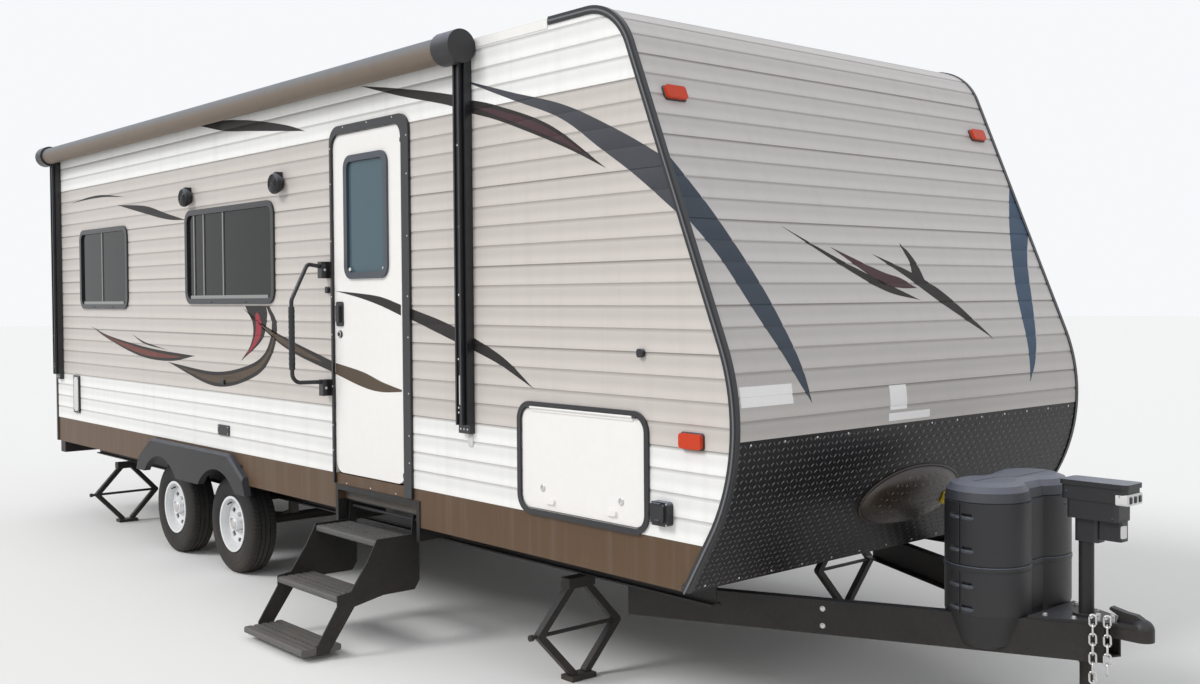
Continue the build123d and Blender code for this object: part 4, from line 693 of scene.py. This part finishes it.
def on_side(side, creases):
    """Gives the function for where a point of a side's sheet lies."""
    return lambda u, v, out: Vector((u, side * (SIDE_FACE - dent(v, creases) + out), v))


def on_front(y, v, out):
    """Where a point of the front's sheet lies, v being minus the way down."""
    spot, normal = front_line(-v)
    return spot + normal * (out - dent(v, FRONT_CREASES)) + Vector((0, y, 0))


def through(points):
    """A smooth line through a few points."""
    spots = [Vector(point) for point in points]
    spots = [2 * spots[0] - spots[1], *spots, 2 * spots[-1] - spots[-2]]
    line = []
    for a, b, c, d in zip(spots, spots[1:], spots[2:], spots[3:]):
        for step in range(CURVE_STEPS):
            t = step / CURVE_STEPS
            line.append(0.5 * (2 * b + (c - a) * t + (2 * a - 5 * b + 4 * c - d) * t ** 2
                               + (3 * b - a - 3 * c + d) * t ** 3))
    return line + [spots[-2]]


def evenly(line, count):
    """Points at equal steps along a line."""
    reached = [0.0]
    for a, b in zip(line, line[1:]):
        reached.append(reached[-1] + (b - a).length)
    spots = []
    i = 0
    for step in range(count + 1):
        want = reached[-1] * step / count
        while i < len(line) - 2 and reached[i + 1] < want:
            i += 1
        share = (want - reached[i]) / max(reached[i + 1] - reached[i], 1e-9)
        spots.append(line[i].lerp(line[i + 1], min(max(share, 0), 1)))
    return spots


def film(shape, edges, place, creases, face=FILM_FACE, count=FILM_STEPS, extra=()):
    """Adds a film between two edges, cut where the sheet bends, as a thin closed skin."""
    flat = bmesh.new()
    tops, lows = [[flat.verts.new((spot.x, spot.y, 0)) for spot in evenly(edge, count)] for edge in edges]
    for i in range(count):
        flat.faces.new((lows[i], lows[i + 1], tops[i + 1], tops[i]))
    bmesh.ops.remove_doubles(flat, verts=flat.verts, dist=1e-5)
    cuts = [level + shift for level, up in creases for shift in (-CREASE_DOWN, 0, up)]
    for level in [*cuts, *extra]:
        bmesh.ops.bisect_plane(flat, geom=flat.verts[:] + flat.edges[:] + flat.faces[:], dist=1e-6,
                               plane_co=(0, level, 0), plane_no=(0, 1, 0))
    outer = {v: shape.verts.new(place(v.co.x, v.co.y, face)) for v in flat.verts}
    inner = {v: shape.verts.new(place(v.co.x, v.co.y, FILM_BACK)) for v in flat.verts}
    for patch in flat.faces:
        shape.faces.new([outer[v] for v in patch.verts])
        shape.faces.new([inner[v] for v in reversed(patch.verts)])
    for edge in flat.edges:
        if edge.is_boundary:
            a, b = edge.verts
            shape.faces.new((outer[a], outer[b], inner[b], inner[a]))
    flat.free()


# The front band's two halves are one blue film: the far half's lighter, bluer tone is painted light.
FILM_COLOURS = {
    "black": (0.022, 0.019, 0.018), "slate": (0.055, 0.058, 0.068), "front": (0.043, 0.055, 0.075),
    "far": (0.043, 0.075, 0.125), "maroon": (0.06, 0.028, 0.034), "brown": (0.085, 0.06, 0.04),
    "red": (0.3, 0.03, 0.045), "rust": (0.15, 0.045, 0.035)}
films = {name: coated(name + "_film", colour, 0.5, grain=90, bump=0.02, dust=0.04, high=0.9, tone=0.05,
                      gloss=0.25) for name, colour in FILM_COLOURS.items()}


def stripe(name, colour, edges, place, creases, body="caravan", face=FILM_FACE, extra=()):
    """Makes one stripe of film as a piece."""
    shape = bmesh.new()
    film(shape, edges, place, creases, face, extra=extra)
    made(name, shape, films[colour], "black_trim", body)


# name, film, upper edge, lower edge, with points as way along and height, behind first
SIDE_STRIPES = (
    ("far_tail", "black", ((-7.89, 2.006), (-7.449, 2.03), (-7.138, 2.025), (-6.748, 1.985)),
     ((-7.89, 2.006), (-7.45, 2.015), (-7.139, 2.01), (-6.748, 1.985))),
    ("rear_upper", "black", ((-6.904, 1.938), (-6.384, 1.9), (-6.042, 1.834), (-5.703, 1.77)),
     ((-6.904, 1.938), (-6.658, 1.895), (-6.043, 1.794), (-5.703, 1.77))),
    ("over_window", "black",
     ((-5.467, 2.35), (-5.245, 2.357), (-4.77, 2.309), (-4.328, 2.235), (-4.096, 2.177)),
     ((-5.467, 2.35), (-5.105, 2.281), (-4.767, 2.246), (-4.329, 2.201), (-4.096, 2.177))),
    ("ahead_of_door", "black", ((-3.506, 2.346), (-3.081, 2.276), (-2.721, 2.207), (-2.58, 2.166)),
     ((-3.506, 2.346), (-3.127, 2.248), (-2.722, 2.156), (-2.58, 2.108))),
    ("maroon", "maroon", ((-2.58, 2.166), (-2.347, 2.111), (-1.96, 1.981), (-1.606, 1.772)),
     ((-2.58, 2.108), (-2.311, 2.036), (-1.895, 1.891), (-1.606, 1.772))),
    ("to_corner", "slate", ((-2.654, 2.272), (-2.236, 2.155), (-1.86, 2.053), (-1.521, 1.911), (-1.3, 1.802)),
     ((-2.654, 2.272), (-2.236, 2.124), (-1.893, 2.003), (-1.642, 1.855), (-1.436, 1.731), (-1.19, 1.562))),
    ("low_front", "black", ((-3.042, 1.204), (-2.716, 1.13), (-2.327, 1.001), (-2.085, 0.862)),
     ((-3.042, 1.15), (-2.717, 1.064), (-2.365, 0.969), (-2.085, 0.862))),
    ("low_middle", "brown", ((-4.893, 1.204), (-4.621, 1.106), (-4.303, 1.025), (-3.813, 0.919)),
     ((-4.893, 1.204), (-4.647, 1.088), (-4.304, 0.963), (-3.813, 0.861))),
    ("red_arch", "red", ((-4.592, 1.216), (-4.581, 1.152), (-4.649, 1.018), (-4.93, 0.885)),
     ((-4.865, 1.216), (-4.763, 1.104), (-4.793, 0.991), (-4.93, 0.885))),
    ("brown_arch", "brown",
     ((-4.592, 1.216), (-4.52, 1.107), (-4.6, 0.955), (-4.823, 0.865), (-5.3, 0.806), (-6.03, 0.841)),
     ((-4.554, 1.216), (-4.458, 1.108), (-4.525, 0.934), (-4.759, 0.796), (-5.3, 0.716), (-6.03, 0.841))),
    ("rear_low", "rust", ((-7.473, 1.062), (-7.084, 0.994), (-6.335, 0.926), (-5.595, 0.895)),
     ((-7.473, 1.062), (-7.085, 0.965), (-6.5, 0.865), (-5.996, 0.849), (-5.595, 0.895))),
    ("rear_flick", "black", ((-6.658, 1.016), (-6.423, 0.965), (-6.027, 0.921)),
     ((-6.658, 1.016), (-6.423, 0.952), (-6.027, 0.921))),
)
DOOR_STRIPES = (
    ("door_upper", "black", ((-3.785, 1.297), (-3.531, 1.282), (-3.325, 1.263), (-3.119, 1.219)),
     ((-3.785, 1.297), (-3.531, 1.259), (-3.326, 1.218), (-3.119, 1.165))),
    ("door_lower", "brown", ((-3.789, 0.914), (-3.51, 0.877), (-3.325, 0.834), (-3.119, 0.8)),
     ((-3.789, 0.855), (-3.512, 0.799), (-3.326, 0.783), (-3.119, 0.795))),
)
INNER_TOP, INNER_LOW, INNER_ENDS = 0.24, 0.76, (0.1, 0.9)


def inner_edges(edges):
    """The two edges of a narrower film laid on a wider one, which leaves a dark outline."""
    upper, lower = [evenly(edge, FILM_STEPS) for edge in edges]
    kept = range(int(FILM_STEPS * INNER_ENDS[0]), int(FILM_STEPS * INNER_ENDS[1]) + 1)
    narrow = [sin(pi * (i - kept[0]) / (len(kept) - 1)) ** 0.5 for i in kept]
    middle = (INNER_TOP + INNER_LOW) / 2
    return [[upper[i].lerp(lower[i], middle + (bound - middle) * shrink) for i, shrink in zip(kept, narrow)]
            for bound in (INNER_TOP, INNER_LOW)]


for name, colour, *edges in SIDE_STRIPES:
    edges = [through(edge) for edge in edges]
    plain = colour in ("black", "slate")
    for side, label in SIDES:
        place = on_side(side, SIDE_CREASES)
        stripe(f"stripe_{name}_{label}", colour if plain else "black", edges, place, SIDE_CREASES)
        if not plain:
            stripe(f"stripe_{name}_inner_{label}", colour, inner_edges(edges), place, SIDE_CREASES,
                   face=UPPER_FILM_FACE)
for name, colour, *edges in DOOR_STRIPES:
    edges = [through(edge) for edge in edges]
    stripe("stripe_" + name, colour, edges, on_side(-1, ()), (), "entry_door")
    stripe(f"stripe_{name}_road_side", colour, edges, on_side(1, SIDE_CREASES), SIDE_CREASES)

# name, film, upper edge, lower edge, with points as way across and height
FRONT_BAND = (
    ((-1.21, 1.8), (-1.145, 1.712), (-1.034, 1.54), (-0.903, 1.271), (-0.826, 1.002), (-0.792, 0.845)),
    ((-1.21, 1.553), (-1.096, 1.4), (-0.982, 1.165), (-0.87, 0.955), (-0.792, 0.845)))
FRONT_STRIPES = (
    ("band_door_side", "front", *FRONT_BAND),
    # The road-side half is the same film as the door-side half, painted lighter: painted light.
    ("band_road_side", "far", *[[(-y, z) for y, z in edge] for edge in FRONT_BAND]),
    ("swoosh_left", "black", ((-0.68, 1.536), (-0.318, 1.381), (0.091, 1.232)),
     ((-0.68, 1.536), (-0.332, 1.356), (-0.12, 1.268), (0.091, 1.232))),
    ("swoosh_middle", "maroon", ((-0.411, 1.456), (-0.125, 1.358), (0.001, 1.328), (0.1, 1.284)),
     ((-0.411, 1.456), (-0.152, 1.31), (-0.024, 1.285), (0.1, 1.284))),
    ("swoosh_right", "black", ((-0.14, 1.431), (0.09, 1.355), (0.297, 1.257), (0.558, 1.05)),
     ((-0.14, 1.431), (0.043, 1.337), (0.236, 1.222), (0.558, 1.05))),
    ("swoosh_fin", "black", ((0.085, 1.483), (0.129, 1.444), (0.162, 1.391), (0.178, 1.32)),
     ((0.085, 1.483), (0.098, 1.44), (0.112, 1.394), (0.1, 1.35))),
)
# left, right, low, high
LABELS = ((-1.19, -0.9, 0.85, 0.925), (-0.295, -0.18, 0.785, 0.885), (-0.306, -0.02, 0.74, 0.772))
for name, colour, *edges in FRONT_STRIPES:
    edges = [through([(y, -way_down(z)) for y, z in edge]) for edge in edges]
    stripe("front_" + name, colour, edges, on_front, FRONT_CREASES, extra=NOSE_CUTS)
shape = bmesh.new()
for left, right, low, high in LABELS:
    edges = [[Vector((left, -way_down(z))), Vector((right, -way_down(z)))] for z in (high, low)]
    film(shape, edges, on_front, FRONT_CREASES, count=2, extra=NOSE_CUTS)
paper = coated("label_paper", (0.78, 0.77, 0.77), 0.5, grain=200, bump=0.02, dust=0.1, high=0.9, tone=0.04)
made("blank_labels", shape, paper, "white_plastic")

# Stone guard: black tread plate under the nose, with a domed bulge behind the gas bottles
# Rolled aluminium with raised lozenges in two directions, painted black and bright where stones have hit.
finish(coated("tread_plate", (0.008, 0.007, 0.008), 0.32, metal=0.1, grain=300, bump=0.05, dust=0.1, high=0.5,
              gloss=0.3), "stone_guard")
GUARD_EDGE, GUARD_START, GUARD_END = 1.2147, way_down(0.727), way_down(0.141)
BULGE_Y, BULGE_DOWN, BULGE_WIDE, BULGE_TALL, BULGE_OUT = -0.03, way_down(0.4), 0.34, 0.14, 0.07
PLATE_PITCH, LOZENGE_LONG, LOZENGE_SHORT, RIDGE_SHARE = 0.0265, 0.0077, 0.0022, 0.55
LOZENGE_FOOT, LOZENGE_TOP, PLAIN_EDGE, DOME_LEVELS = -0.0004, 0.0014, 0.018, 11


def bulge(y, travel):
    """How far the guard's bulge stands out."""
    away = ((y - BULGE_Y) / BULGE_WIDE) ** 2 + ((travel - BULGE_DOWN) / BULGE_TALL) ** 2
    return BULGE_OUT * max(0.0, 1 - away) ** 0.6


def on_guard(y, travel, out):
    """Where a point of the guard lies, its bulge counted."""
    spot, normal = front_line(travel)
    return spot + normal * (out + bulge(y, travel)) + Vector((0, y, 0))


def round_bulge(share, out):
    """Places round the bulge at a share of its reach."""
    return [on_guard(BULGE_Y + BULGE_WIDE * share * u, BULGE_DOWN + BULGE_TALL * share * v, out)
            for u, v in ring(1, 56)]


shape = bmesh.new()
for row in range(int((GUARD_END - GUARD_START) / PLATE_PITCH)):
    for column in range(int(2 * GUARD_EDGE / PLATE_PITCH)):
        y = -GUARD_EDGE + (column + 0.75) * PLATE_PITCH
        travel = GUARD_START + (row + 0.75) * PLATE_PITCH
        away = hypot((y - BULGE_Y) / BULGE_WIDE, (travel - BULGE_DOWN) / BULGE_TALL)
        if 0.86 < away < 1.1 or abs(y) > GUARD_EDGE - PLAIN_EDGE:
            continue
        lean = 1 if (row + column) % 2 else -1
        long = Vector((LOZENGE_LONG, LOZENGE_LONG * lean))
        short = Vector((LOZENGE_SHORT, -LOZENGE_SHORT * lean))
        base = [on_guard(y + d.x, travel + d.y, LOZENGE_FOOT) for d in (long, short, -long, -short)]
        ridge = [on_guard(y + RIDGE_SHARE * d.x, travel + RIDGE_SHARE * d.y, LOZENGE_TOP)
                 for d in (long, -long)]
        a, b, c, d = [shape.verts.new(p) for p in base]
        e, f = [shape.verts.new(p) for p in ridge]
        for corners in ((a, b, e), (b, c, f, e), (c, d, f), (d, a, e, f), (d, c, b, a)):
            shape.faces.new(corners)
made("tread_lozenges", shape,
     coated("lozenge_metal", (0.12, 0.115, 0.12), 0.25, metal=0.7, grain=200, bump=0.03, dust=0.2, high=0.4),
     "tread_plate")

shape = bmesh.new()
dome = [round_bulge(sin(pi / 2 * (1 - level / DOME_LEVELS)), 0.0008) for level in range(DOME_LEVELS)]
skinned(shape, [round_bulge(1.004, -0.003), *dome])
rod(shape, round_bulge(1.012, 0.002), 0.006, closed=True)
guard_dome = coated("guard_dome", (0.02, 0.014, 0.01), 0.3, metal=0.2, grain=200, bump=0.05, dust=0.3,
                    high=0.9, fade_and_sheen=0.15)
made("guard_bulge", shape, guard_dome, "tread_plate")

shape = bmesh.new()
down = way_down(0.405)
pad(shape, facing(on_guard(0.142, down, 0), front_line(down)[1]), (0.044, 0.058, 0.012), 0.012,
    (0.036, 0.050, 0.010), 0.016, start=-0.01)
yellow_cap = coated("yellow_cap", (0.62, 0.45, 0.02), 0.45, grain=300, bump=0.04, dust=0.15)
made("guard_cap", shape, yellow_cap, "amber_lens")
shape = bmesh.new()
for step in range(13):
    for travel in (GUARD_START + 0.016, GUARD_END - 0.02):
        spot, normal = front_line(travel)
        screw(shape, spot + Vector((0, -1.14 + 0.19 * step, 0)), normal)
made("guard_screws", shape, zinc, "zinc_steel")

# Corner mouldings: extruded aluminium angles in black with a grey vinyl strip over their screws
# The strip is pressed into the moulding's channel: one length from the roof round the nose to the toe,
# and a straight one up each rear corner.
black_trim = coated("black_trim", (0.012, 0.0125, 0.015), 0.32, coat=0.12, grain=300, bump=0.03, dust=0.05,
                    fade_and_sheen=0.15)
finish(black_trim, "corner_mouldings", "window_frames", "door_frame", "grab_handle", "hatch_frames",
       "awning_arms")
grey_vinyl = coated("grey_vinyl", (0.13, 0.135, 0.145), 0.45, grain=300, bump=0.02, dust=0.1, high=0.9)
STRIP_IN, STRIP_HALF, STRIP_FACE = 0.0125, 0.0042, 1.2255
STRIP_START, STRIP_RUN, STRIP_STEPS = -0.25, AT_TOE + 0.27 + 0.25, 96
STRIP = ((-STRIP_HALF, -0.0003), (-STRIP_HALF * 0.7, 0.0009), (STRIP_HALF * 0.7, 0.0009),
         (STRIP_HALF, -0.0003))
REAR_STRIP, REAR_STRIP_ENDS = ((8.5, 1225.2), (9.6, 1226.4), (15.4, 1226.4), (16.5, 1225.2)), (600, 2830)
shape = bmesh.new()
for side in (-1, 1):
    rings = []
    for step in range(STRIP_STEPS + 1):
        spot, normal = front_line(STRIP_START + STRIP_RUN * step / STRIP_STEPS)
        rings.append([spot - normal * (STRIP_IN + shift) + Vector((0, side * (STRIP_FACE + out), 0))
                      for shift, out in STRIP])
    skinned(shape, rings)
    skinned(shape, [[at(x, side * y, z) for x, y in REAR_STRIP] for z in REAR_STRIP_ENDS])
made("moulding_strips", shape, grey_vinyl, "grey_trim")

# Windows: black aluminium frames with a slider in each, and tinted glass
# The panes are toughened glass with a dark tint. Small covers sit over the weep holes of the frames.
finish(coated("alloy_trim", (0.3, 0.3, 0.29), 0.35, metal=0.6, grain=200, bump=0.02, dust=0.05),
       "window_sashes")
# low and high end, sill height, side
WINDOWS = ((620, 1540, 1662, -1), (2580, 3775, 1697, -1), (1500, 2700, 1697, 1))


def tinted(name, colour, clear):
    """Dark safety glass that still lets the cabin show."""
    material, tree = blank_material(name)
    shaded(tree, {"Base Color": colour, "Roughness": 0.03, "Transmission Weight": clear, "IOR": 1.5,
                  "Specular IOR Level": 0.2})
    return material


finish(tinted("tinted_glass", (0.01, 0.01, 0.009, 1), 0.15), "window_panes")
finish(tinted("door_glass", (0.085, 0.145, 0.175, 1), 0.25), "door_pane")
shape = bmesh.new()
for low_x, high_x, sill, side in WINDOWS:
    for share in (0.3, 0.7):
        spot = at(low_x + share * (high_x - low_x), side * 1230.8, sill - 6)
        pad(shape, facing(spot, (0, side, 0)), (0.05, 0.009, 0.003), 0.002, (0.046, 0.005, 0.002), 0.0035)
made("weep_covers", shape, black_plastic, "black_plastic")

# Entry door: smooth white leaf in a black frame, with its window, its lock and the frame's screws
# Moulded fibreglass bonded to an aluminium frame. The two discs cap the screws of the window's stay.
finish(coated("grey_trim", (0.05, 0.06, 0.075), 0.35, grain=300, bump=0.03, dust=0.0), "door_window_frame")
door_skin = coated("door_skin", (0.84, 0.82, 0.79), 0.33, coat=0.15, grain=25, bump=0.02, dust=0.12,
                   high=0.7, tone=0.012)
finish(door_skin, "door_leaf", "hatch_door_side", "hatch_road_side", "gutter_rails")
white_plastic = coated("white_plastic", (0.78, 0.78, 0.76), 0.5, grain=500, bump=0.05, dust=0.08, tone=0.04)
finish(white_plastic, "roof_vents")
DOOR_SIDE = (0, -1, 0)
shape = bmesh.new()
for x in (4640, 4972):
    turned(shape, facing(at(x, -1222, 1857), DOOR_SIDE), 20, (0.010, -0.003), (0.010, 0.0015), (0.008, 0.003),
           (0.003, 0.0036))
made("door_window_caps", shape, white_plastic, "white_plastic", "entry_door")
shape = bmesh.new()
for z in (900, 1033, 1240, 1515, 1716, 2010, 2313, 2500):
    screw(shape, at(5208, -1233, z), DOOR_SIDE)
    screw(shape, at(4463, -1233, z), DOOR_SIDE)
for x in (4600, 4840, 5080):
    screw(shape, at(x, -1233, 2601), DOOR_SIDE)
    screw(shape, at(x, -1233, 735), DOOR_SIDE)
made("door_frame_screws", shape, zinc, "zinc_steel")
shape = bmesh.new()
turned(shape, facing(at(4532, -1227, 1519), DOOR_SIDE), 24, (0.015, 0), (0.015, 0.0015), (0.012, 0.003),
       (0.0115, 0.0012))
slit = oblong(0.0025, 0.010, 0.001, 2)
stacked(shape, facing(at(4532, -1228.2, 1519), DOOR_SIDE), (slit, 0), (slit, 0.001))
made("door_lock_barrel", shape, zinc, "zinc_steel", "entry_door")

# Grab handle: a folding tube with a soft sleeve, on two clamps
# The sleeve is ribbed foam rubber over the steel tube, and a bolt goes through each clamp.
HANDLE_X, SLEEVE_LOW, SLEEVE_LONG, SLEEVE_STEPS = 4410, 1335, 330, 48
SLEEVE_RIB, SLEEVE_GROOVE, SLEEVE_END = 0.0172, 0.0158, 0.0125
shape = bmesh.new()
sleeve = []
for step in range(SLEEVE_STEPS + 1):
    swell = SLEEVE_RIB if step % 4 < 2 else SLEEVE_GROOVE
    swell = SLEEVE_END if step in (0, SLEEVE_STEPS) else swell
    centre = at(HANDLE_X, -1440, SLEEVE_LOW + SLEEVE_LONG * step / SLEEVE_STEPS)
    sleeve.append([centre + Vector((swell * u, swell * v, 0)) for u, v in ring(1, 20)])
skinned(shape, sleeve)
made("handle_sleeve", shape, black_plastic, "black_plastic")
shape = bmesh.new()
for z in (1230, 1860):
    for side in (-1, 1):
        bolt(shape, at(HANDLE_X + side * 22, -1254, z), (side, 0, 0), 0.006, 0.005)
made("handle_bolts", shape, zinc, "zinc_steel")

# Storage hatches: white leaf in a black frame, one on each side, hinged along the top
# Each leaf has a round key lock, plated in zinc, near each of its lower corners.
for side, label in SIDES:
    shape = bmesh.new()
    for x in (6236, 6735):
        turned(shape, facing(at(x, side * 1218.8, 891), (0, side, 0)), 28, (0.0165, 0), (0.0165, 0.002),
               (0.014, 0.0042), (0.0105, 0.0035), (0.010, 0.0015))
    made("hatch_lock_" + label, shape, zinc, "zinc_steel", "hatch_" + label)

# Step: three treads that fold under the door
# Pressed steel treads with raised grips, painted black and worn grey where feet land.
tread_paint = coated("tread_paint", (0.1, 0.1, 0.1), 0.6, grain=700, bump=0.25, dust=0.25, high=0.4)
finish(tread_paint, "step_treads")
# outer and inner edge from the wall, height
TREADS = ((-153, 54, 522), (-373, -166, 285), (-561, -351, 62))
shape = bmesh.new()
for outer, inner, top_z in TREADS:
    for row in range(3):
        spot_y = -1219 + outer + 34 + row * 52
        if spot_y > -1219 + inner - 26:
            continue
        for column in range(14):
            stacked(shape, facing(at(4560 + 40 * column, spot_y, top_z - 0.2), (0, 0, 1)),
                    (oblong(0.008, 0.018, 0.0035, 2), 0), (oblong(0.006, 0.016, 0.0028, 2), 0.0014))
made("tread_grips", shape, tread_paint, "black_steel")

# Fender skirts, lamps and speakers
# The skirts are vacuum-formed black plastic, screwed on. Lamps are moulded lenses over a black base,
# and the speakers have a round grille of bars.
skirt_plastic = coated("skirt_plastic", (0.016, 0.016, 0.018), 0.42, grain=700, bump=0.12, dust=0.12,
                       high=0.35, fade_and_sheen=0.3, gloss=0.35)
finish(skirt_plastic, "fender_skirts")
finish(black_plastic, "speakers")
FENDER_MIDDLE = 2601
FENDER_SCREWS = ((-575, 742), (-345, 748), (-115, 748), (115, 748), (345, 748), (575, 742), (-690, 690),
                 (690, 690), (-790, 600), (790, 600), (-60, 560), (60, 560), (0, 640))
shape = bmesh.new()
for side, out in ((-1, 1261), (1, 1259.4)):
    for x, z in FENDER_SCREWS:
        screw(shape, at(FENDER_MIDDLE + x, side * out, z), (0, side, 0), 0.006, 0.0016)
made("fender_screws", shape, black_plastic, "black_plastic")


def lens(name, colour):
    """Moulded lamp glass: clear colour with a finely uneven face."""
    material, tree = blank_material(name)
    texture = placed(tree, fine_grain, Scale=240.0, Wave=0.1)
    shaded(tree, {
        "Base Color": colour, "Roughness": 0.15, "Specular IOR Level": 0.2, "Coat Weight": 0.1,
        "Coat Roughness": 0.05, "Normal": raised(tree, texture["Height"], 0.001, 0.6).outputs[0]})
    return material


finish(lens("amber_lens", (0.56, 0.045, 0.01, 1)), "marker_lamps")
finish(lens("red_lens", (0.45, 0.012, 0.012, 1)), "tail_lamps")
shape = bmesh.new()
for side in (-1, 1):
    pad(shape, facing(at(7137, side * 1219.2, 1166), (0, side, 0)), (0.122, 0.066, 0.012), 0.004,
        (0.118, 0.062, 0.011), 0.0055)
    spot, normal = front_line(way_down(2.502 + GROUND))
    spot = spot + Vector((0, side * 1.07, 0)) + normal * 0.0002
    pad(shape, facing(spot, normal), (0.120, 0.064, 0.014), 0.005, (0.114, 0.059, 0.012), 0.0065)
    pad(shape, facing(at(-0.3, side * 1000, 995), (-1, 0, 0)), (0.162, 0.242, 0.012), 0.006,
        (0.156, 0.236, 0.010), 0.008)
made("lamp_bases", shape, black_plastic, "black_plastic")
shape = bmesh.new()
for x in (2637, 3885):
    for radius in (0.012, 0.024, 0.036, 0.048):
        circle = [at(x, -1279.4, 2357) + Vector((u, 0, v)) for u, v in ring(radius, 32)]
        rod(shape, circle, 0.0016, 6, closed=True)
    middle = at(x, -1279.6, 2357)
    for turn in range(6):
        arm = Vector((cos(turn * pi / 6), 0, sin(turn * pi / 6))) * 0.052
        rod(shape, [middle - arm, middle, middle + arm], 0.0013, 6)
made("speaker_grilles", shape, black_trim, "black_trim")

# Awning: vinyl wound on its tube, held by a folding arm at each end
# The cloth comes off the wall rail over the top of the roll. The arms are extrusions with pins and a
# slotted foot.
ROLL_SPOT, ROLL_RADIUS, ROLL_TURNS, LAYER = (-1.3, 2.385), 0.0615, 7.4, 0.0029
RAIL_SPOT, CLOTH, TURN_STEPS = (-1.2262, 2.412), 0.0007, 40
awning_vinyl, tree = blank_material("awning_vinyl")
texture = placed(tree, fine_grain, Scale=500.0, Wave=0.5, Tone=0.06)
# The roll is painted tan below and blue-grey above: painted reflections of the ground and of the sky.
upper = ranged(tree, split(tree, object_spot(tree))["Z"], 2.372, 2.432, 0.0, 1.0)
base = blended(tree, upper, (0.17, 0.128, 0.092, 1), (0.13, 0.15, 0.175, 1))
base = blended(tree, placed(tree, rain_streaks, Amount=0.3)[0], base, (0.1, 0.09, 0.08, 1))
shaded(tree, {"Base Color": dimmed(tree, base, texture["Shade"]), "Roughness": 0.5,
              "Normal": raised(tree, texture["Height"], 0.0012, 0.8).outputs[0]})
reach = hypot(RAIL_SPOT[0] - ROLL_SPOT[0], RAIL_SPOT[1] - ROLL_SPOT[1])
touch = atan2(RAIL_SPOT[1] - ROLL_SPOT[1], RAIL_SPOT[0] - ROLL_SPOT[0]) + acos(ROLL_RADIUS / reach)
line = [Vector((0, *RAIL_SPOT))]
steps = int(ROLL_TURNS * TURN_STEPS)
for step in range(steps + 1):
    wound = 2 * pi * ROLL_TURNS * step / steps
    radius = ROLL_RADIUS - LAYER * wound / (2 * pi)
    turn = touch + wound
    line.append(Vector((0, ROLL_SPOT[0] + radius * cos(turn), ROLL_SPOT[1] + radius * sin(turn))))
START_X, END_X = at(184, 0, 0).x, at(5639, 0, 0).x
start, end = Vector((START_X, 0, 0)), Vector((END_X, 0, 0))
rings = []
for i, spot in enumerate(line):
    along = (line[min(i + 1, len(line) - 1)] - line[max(i - 1, 0)]).normalized()
    out_way = Vector((0, -along.z, along.y)) * (CLOTH / 2)
    rings.append([spot + out_way + start, spot + out_way + end, spot - out_way + end, spot - out_way + start])
shape = bmesh.new()
skinned(shape, rings)
roll = made("awning_cloth", shape, awning_vinyl, "awning_fabric")
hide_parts("awning_roller")

shape = bmesh.new()
turned(shape, facing(at(184.5, ROLL_SPOT[0] * 1000, (ROLL_SPOT[1] - GROUND) * 1000), (1, 0, 0)), 32,
       (0.038, 0), (0.038, 5.454))
made("awning_tube", shape, zinc, "alloy_trim")
# place beside the arm's middle, height, place out from the wall
ARM_PINS = ((-8, 1426, 52), (6, 2030, 52), (-9, 1204, 52), (9, 1204, 52), (-9, 1182, 52), (9, 1182, 52),
            (-26, 1105, 30), (26, 1105, 30), (0, 1105, 30), (0, 2400, 52), (0, 1720, 52))
slot = oblong(0.009, 0.135, 0.004)
shape = bmesh.new()
for arm_x in (123, 5698):
    for beside, z, out in ARM_PINS:
        screw(shape, at(arm_x + beside, -1219 - out, z), DOOR_SIDE, 0.0052, 0.0025)
    stacked(shape, facing(at(arm_x, -1271, 1285), DOOR_SIDE), (slot, 0), (slot, 0.0012))
made("awning_pins", shape, pale_plastic, "white_plastic")
shape = bmesh.new()
pad(shape, facing(at(5712, -1219.2, 1052), DOOR_SIDE), (0.036, 0.062, 0.014), 0.005,
    (0.030, 0.056, 0.012), 0.007)
made("awning_foot_tab", shape, pale_plastic, "white_plastic")

# Wall fittings: outlet box with its hinged cap, vents, catches and, on the road side, the service covers
# Moulded black plastic, each held by small screws at its corners.
finish(black_plastic, "wall_fittings")
# low and high end, low and high edge, place out from the wall, side
SCREWED = ((3014, 3169, 870, 933, 9, -1), (420, 540, 840, 1127, 14, -1), (3300, 3860, 900, 1300, 14, 1),
           (5050, 5400, 850, 1190, 12, 1))
SCREW_IN = 12
shape = bmesh.new()
pad(shape, facing(at(480, -1233, 983.5), DOOR_SIDE), (0.096, 0.263, 0.03), 0.0015,
    (0.088, 0.255, 0.027), 0.0025)
made("vent_strip_cover", shape, pale_plastic, "white_plastic")
shape = bmesh.new()
for low_x, high_x, low_z, high_z, out, side in SCREWED:
    for x in (low_x + SCREW_IN, high_x - SCREW_IN):
        for z in (low_z + SCREW_IN, high_z - SCREW_IN):
            screw(shape, at(x, side * (1219 + out), z), (0, side, 0), 0.004, 0.002)
for x in (6942, 7025):
    for z in (838, 918):
        screw(shape, at(x, -1253, z), DOOR_SIDE, 0.0035, 0.0018)
made("fitting_screws", shape, zinc, "zinc_steel")
shape = bmesh.new()
turned(shape, facing(at(6962, -1263, 918), (1, 0, 0)), 14, (0.004, 0), (0.004, 0.044))
stacked(shape, facing(at(6983.5, -1262.8, 852), DOOR_SIDE), (oblong(0.026, 0.010, 0.004), 0),
        (oblong(0.022, 0.007, 0.003), 0.005))
made("outlet_cap_hinge", shape, black_plastic, "black_plastic")
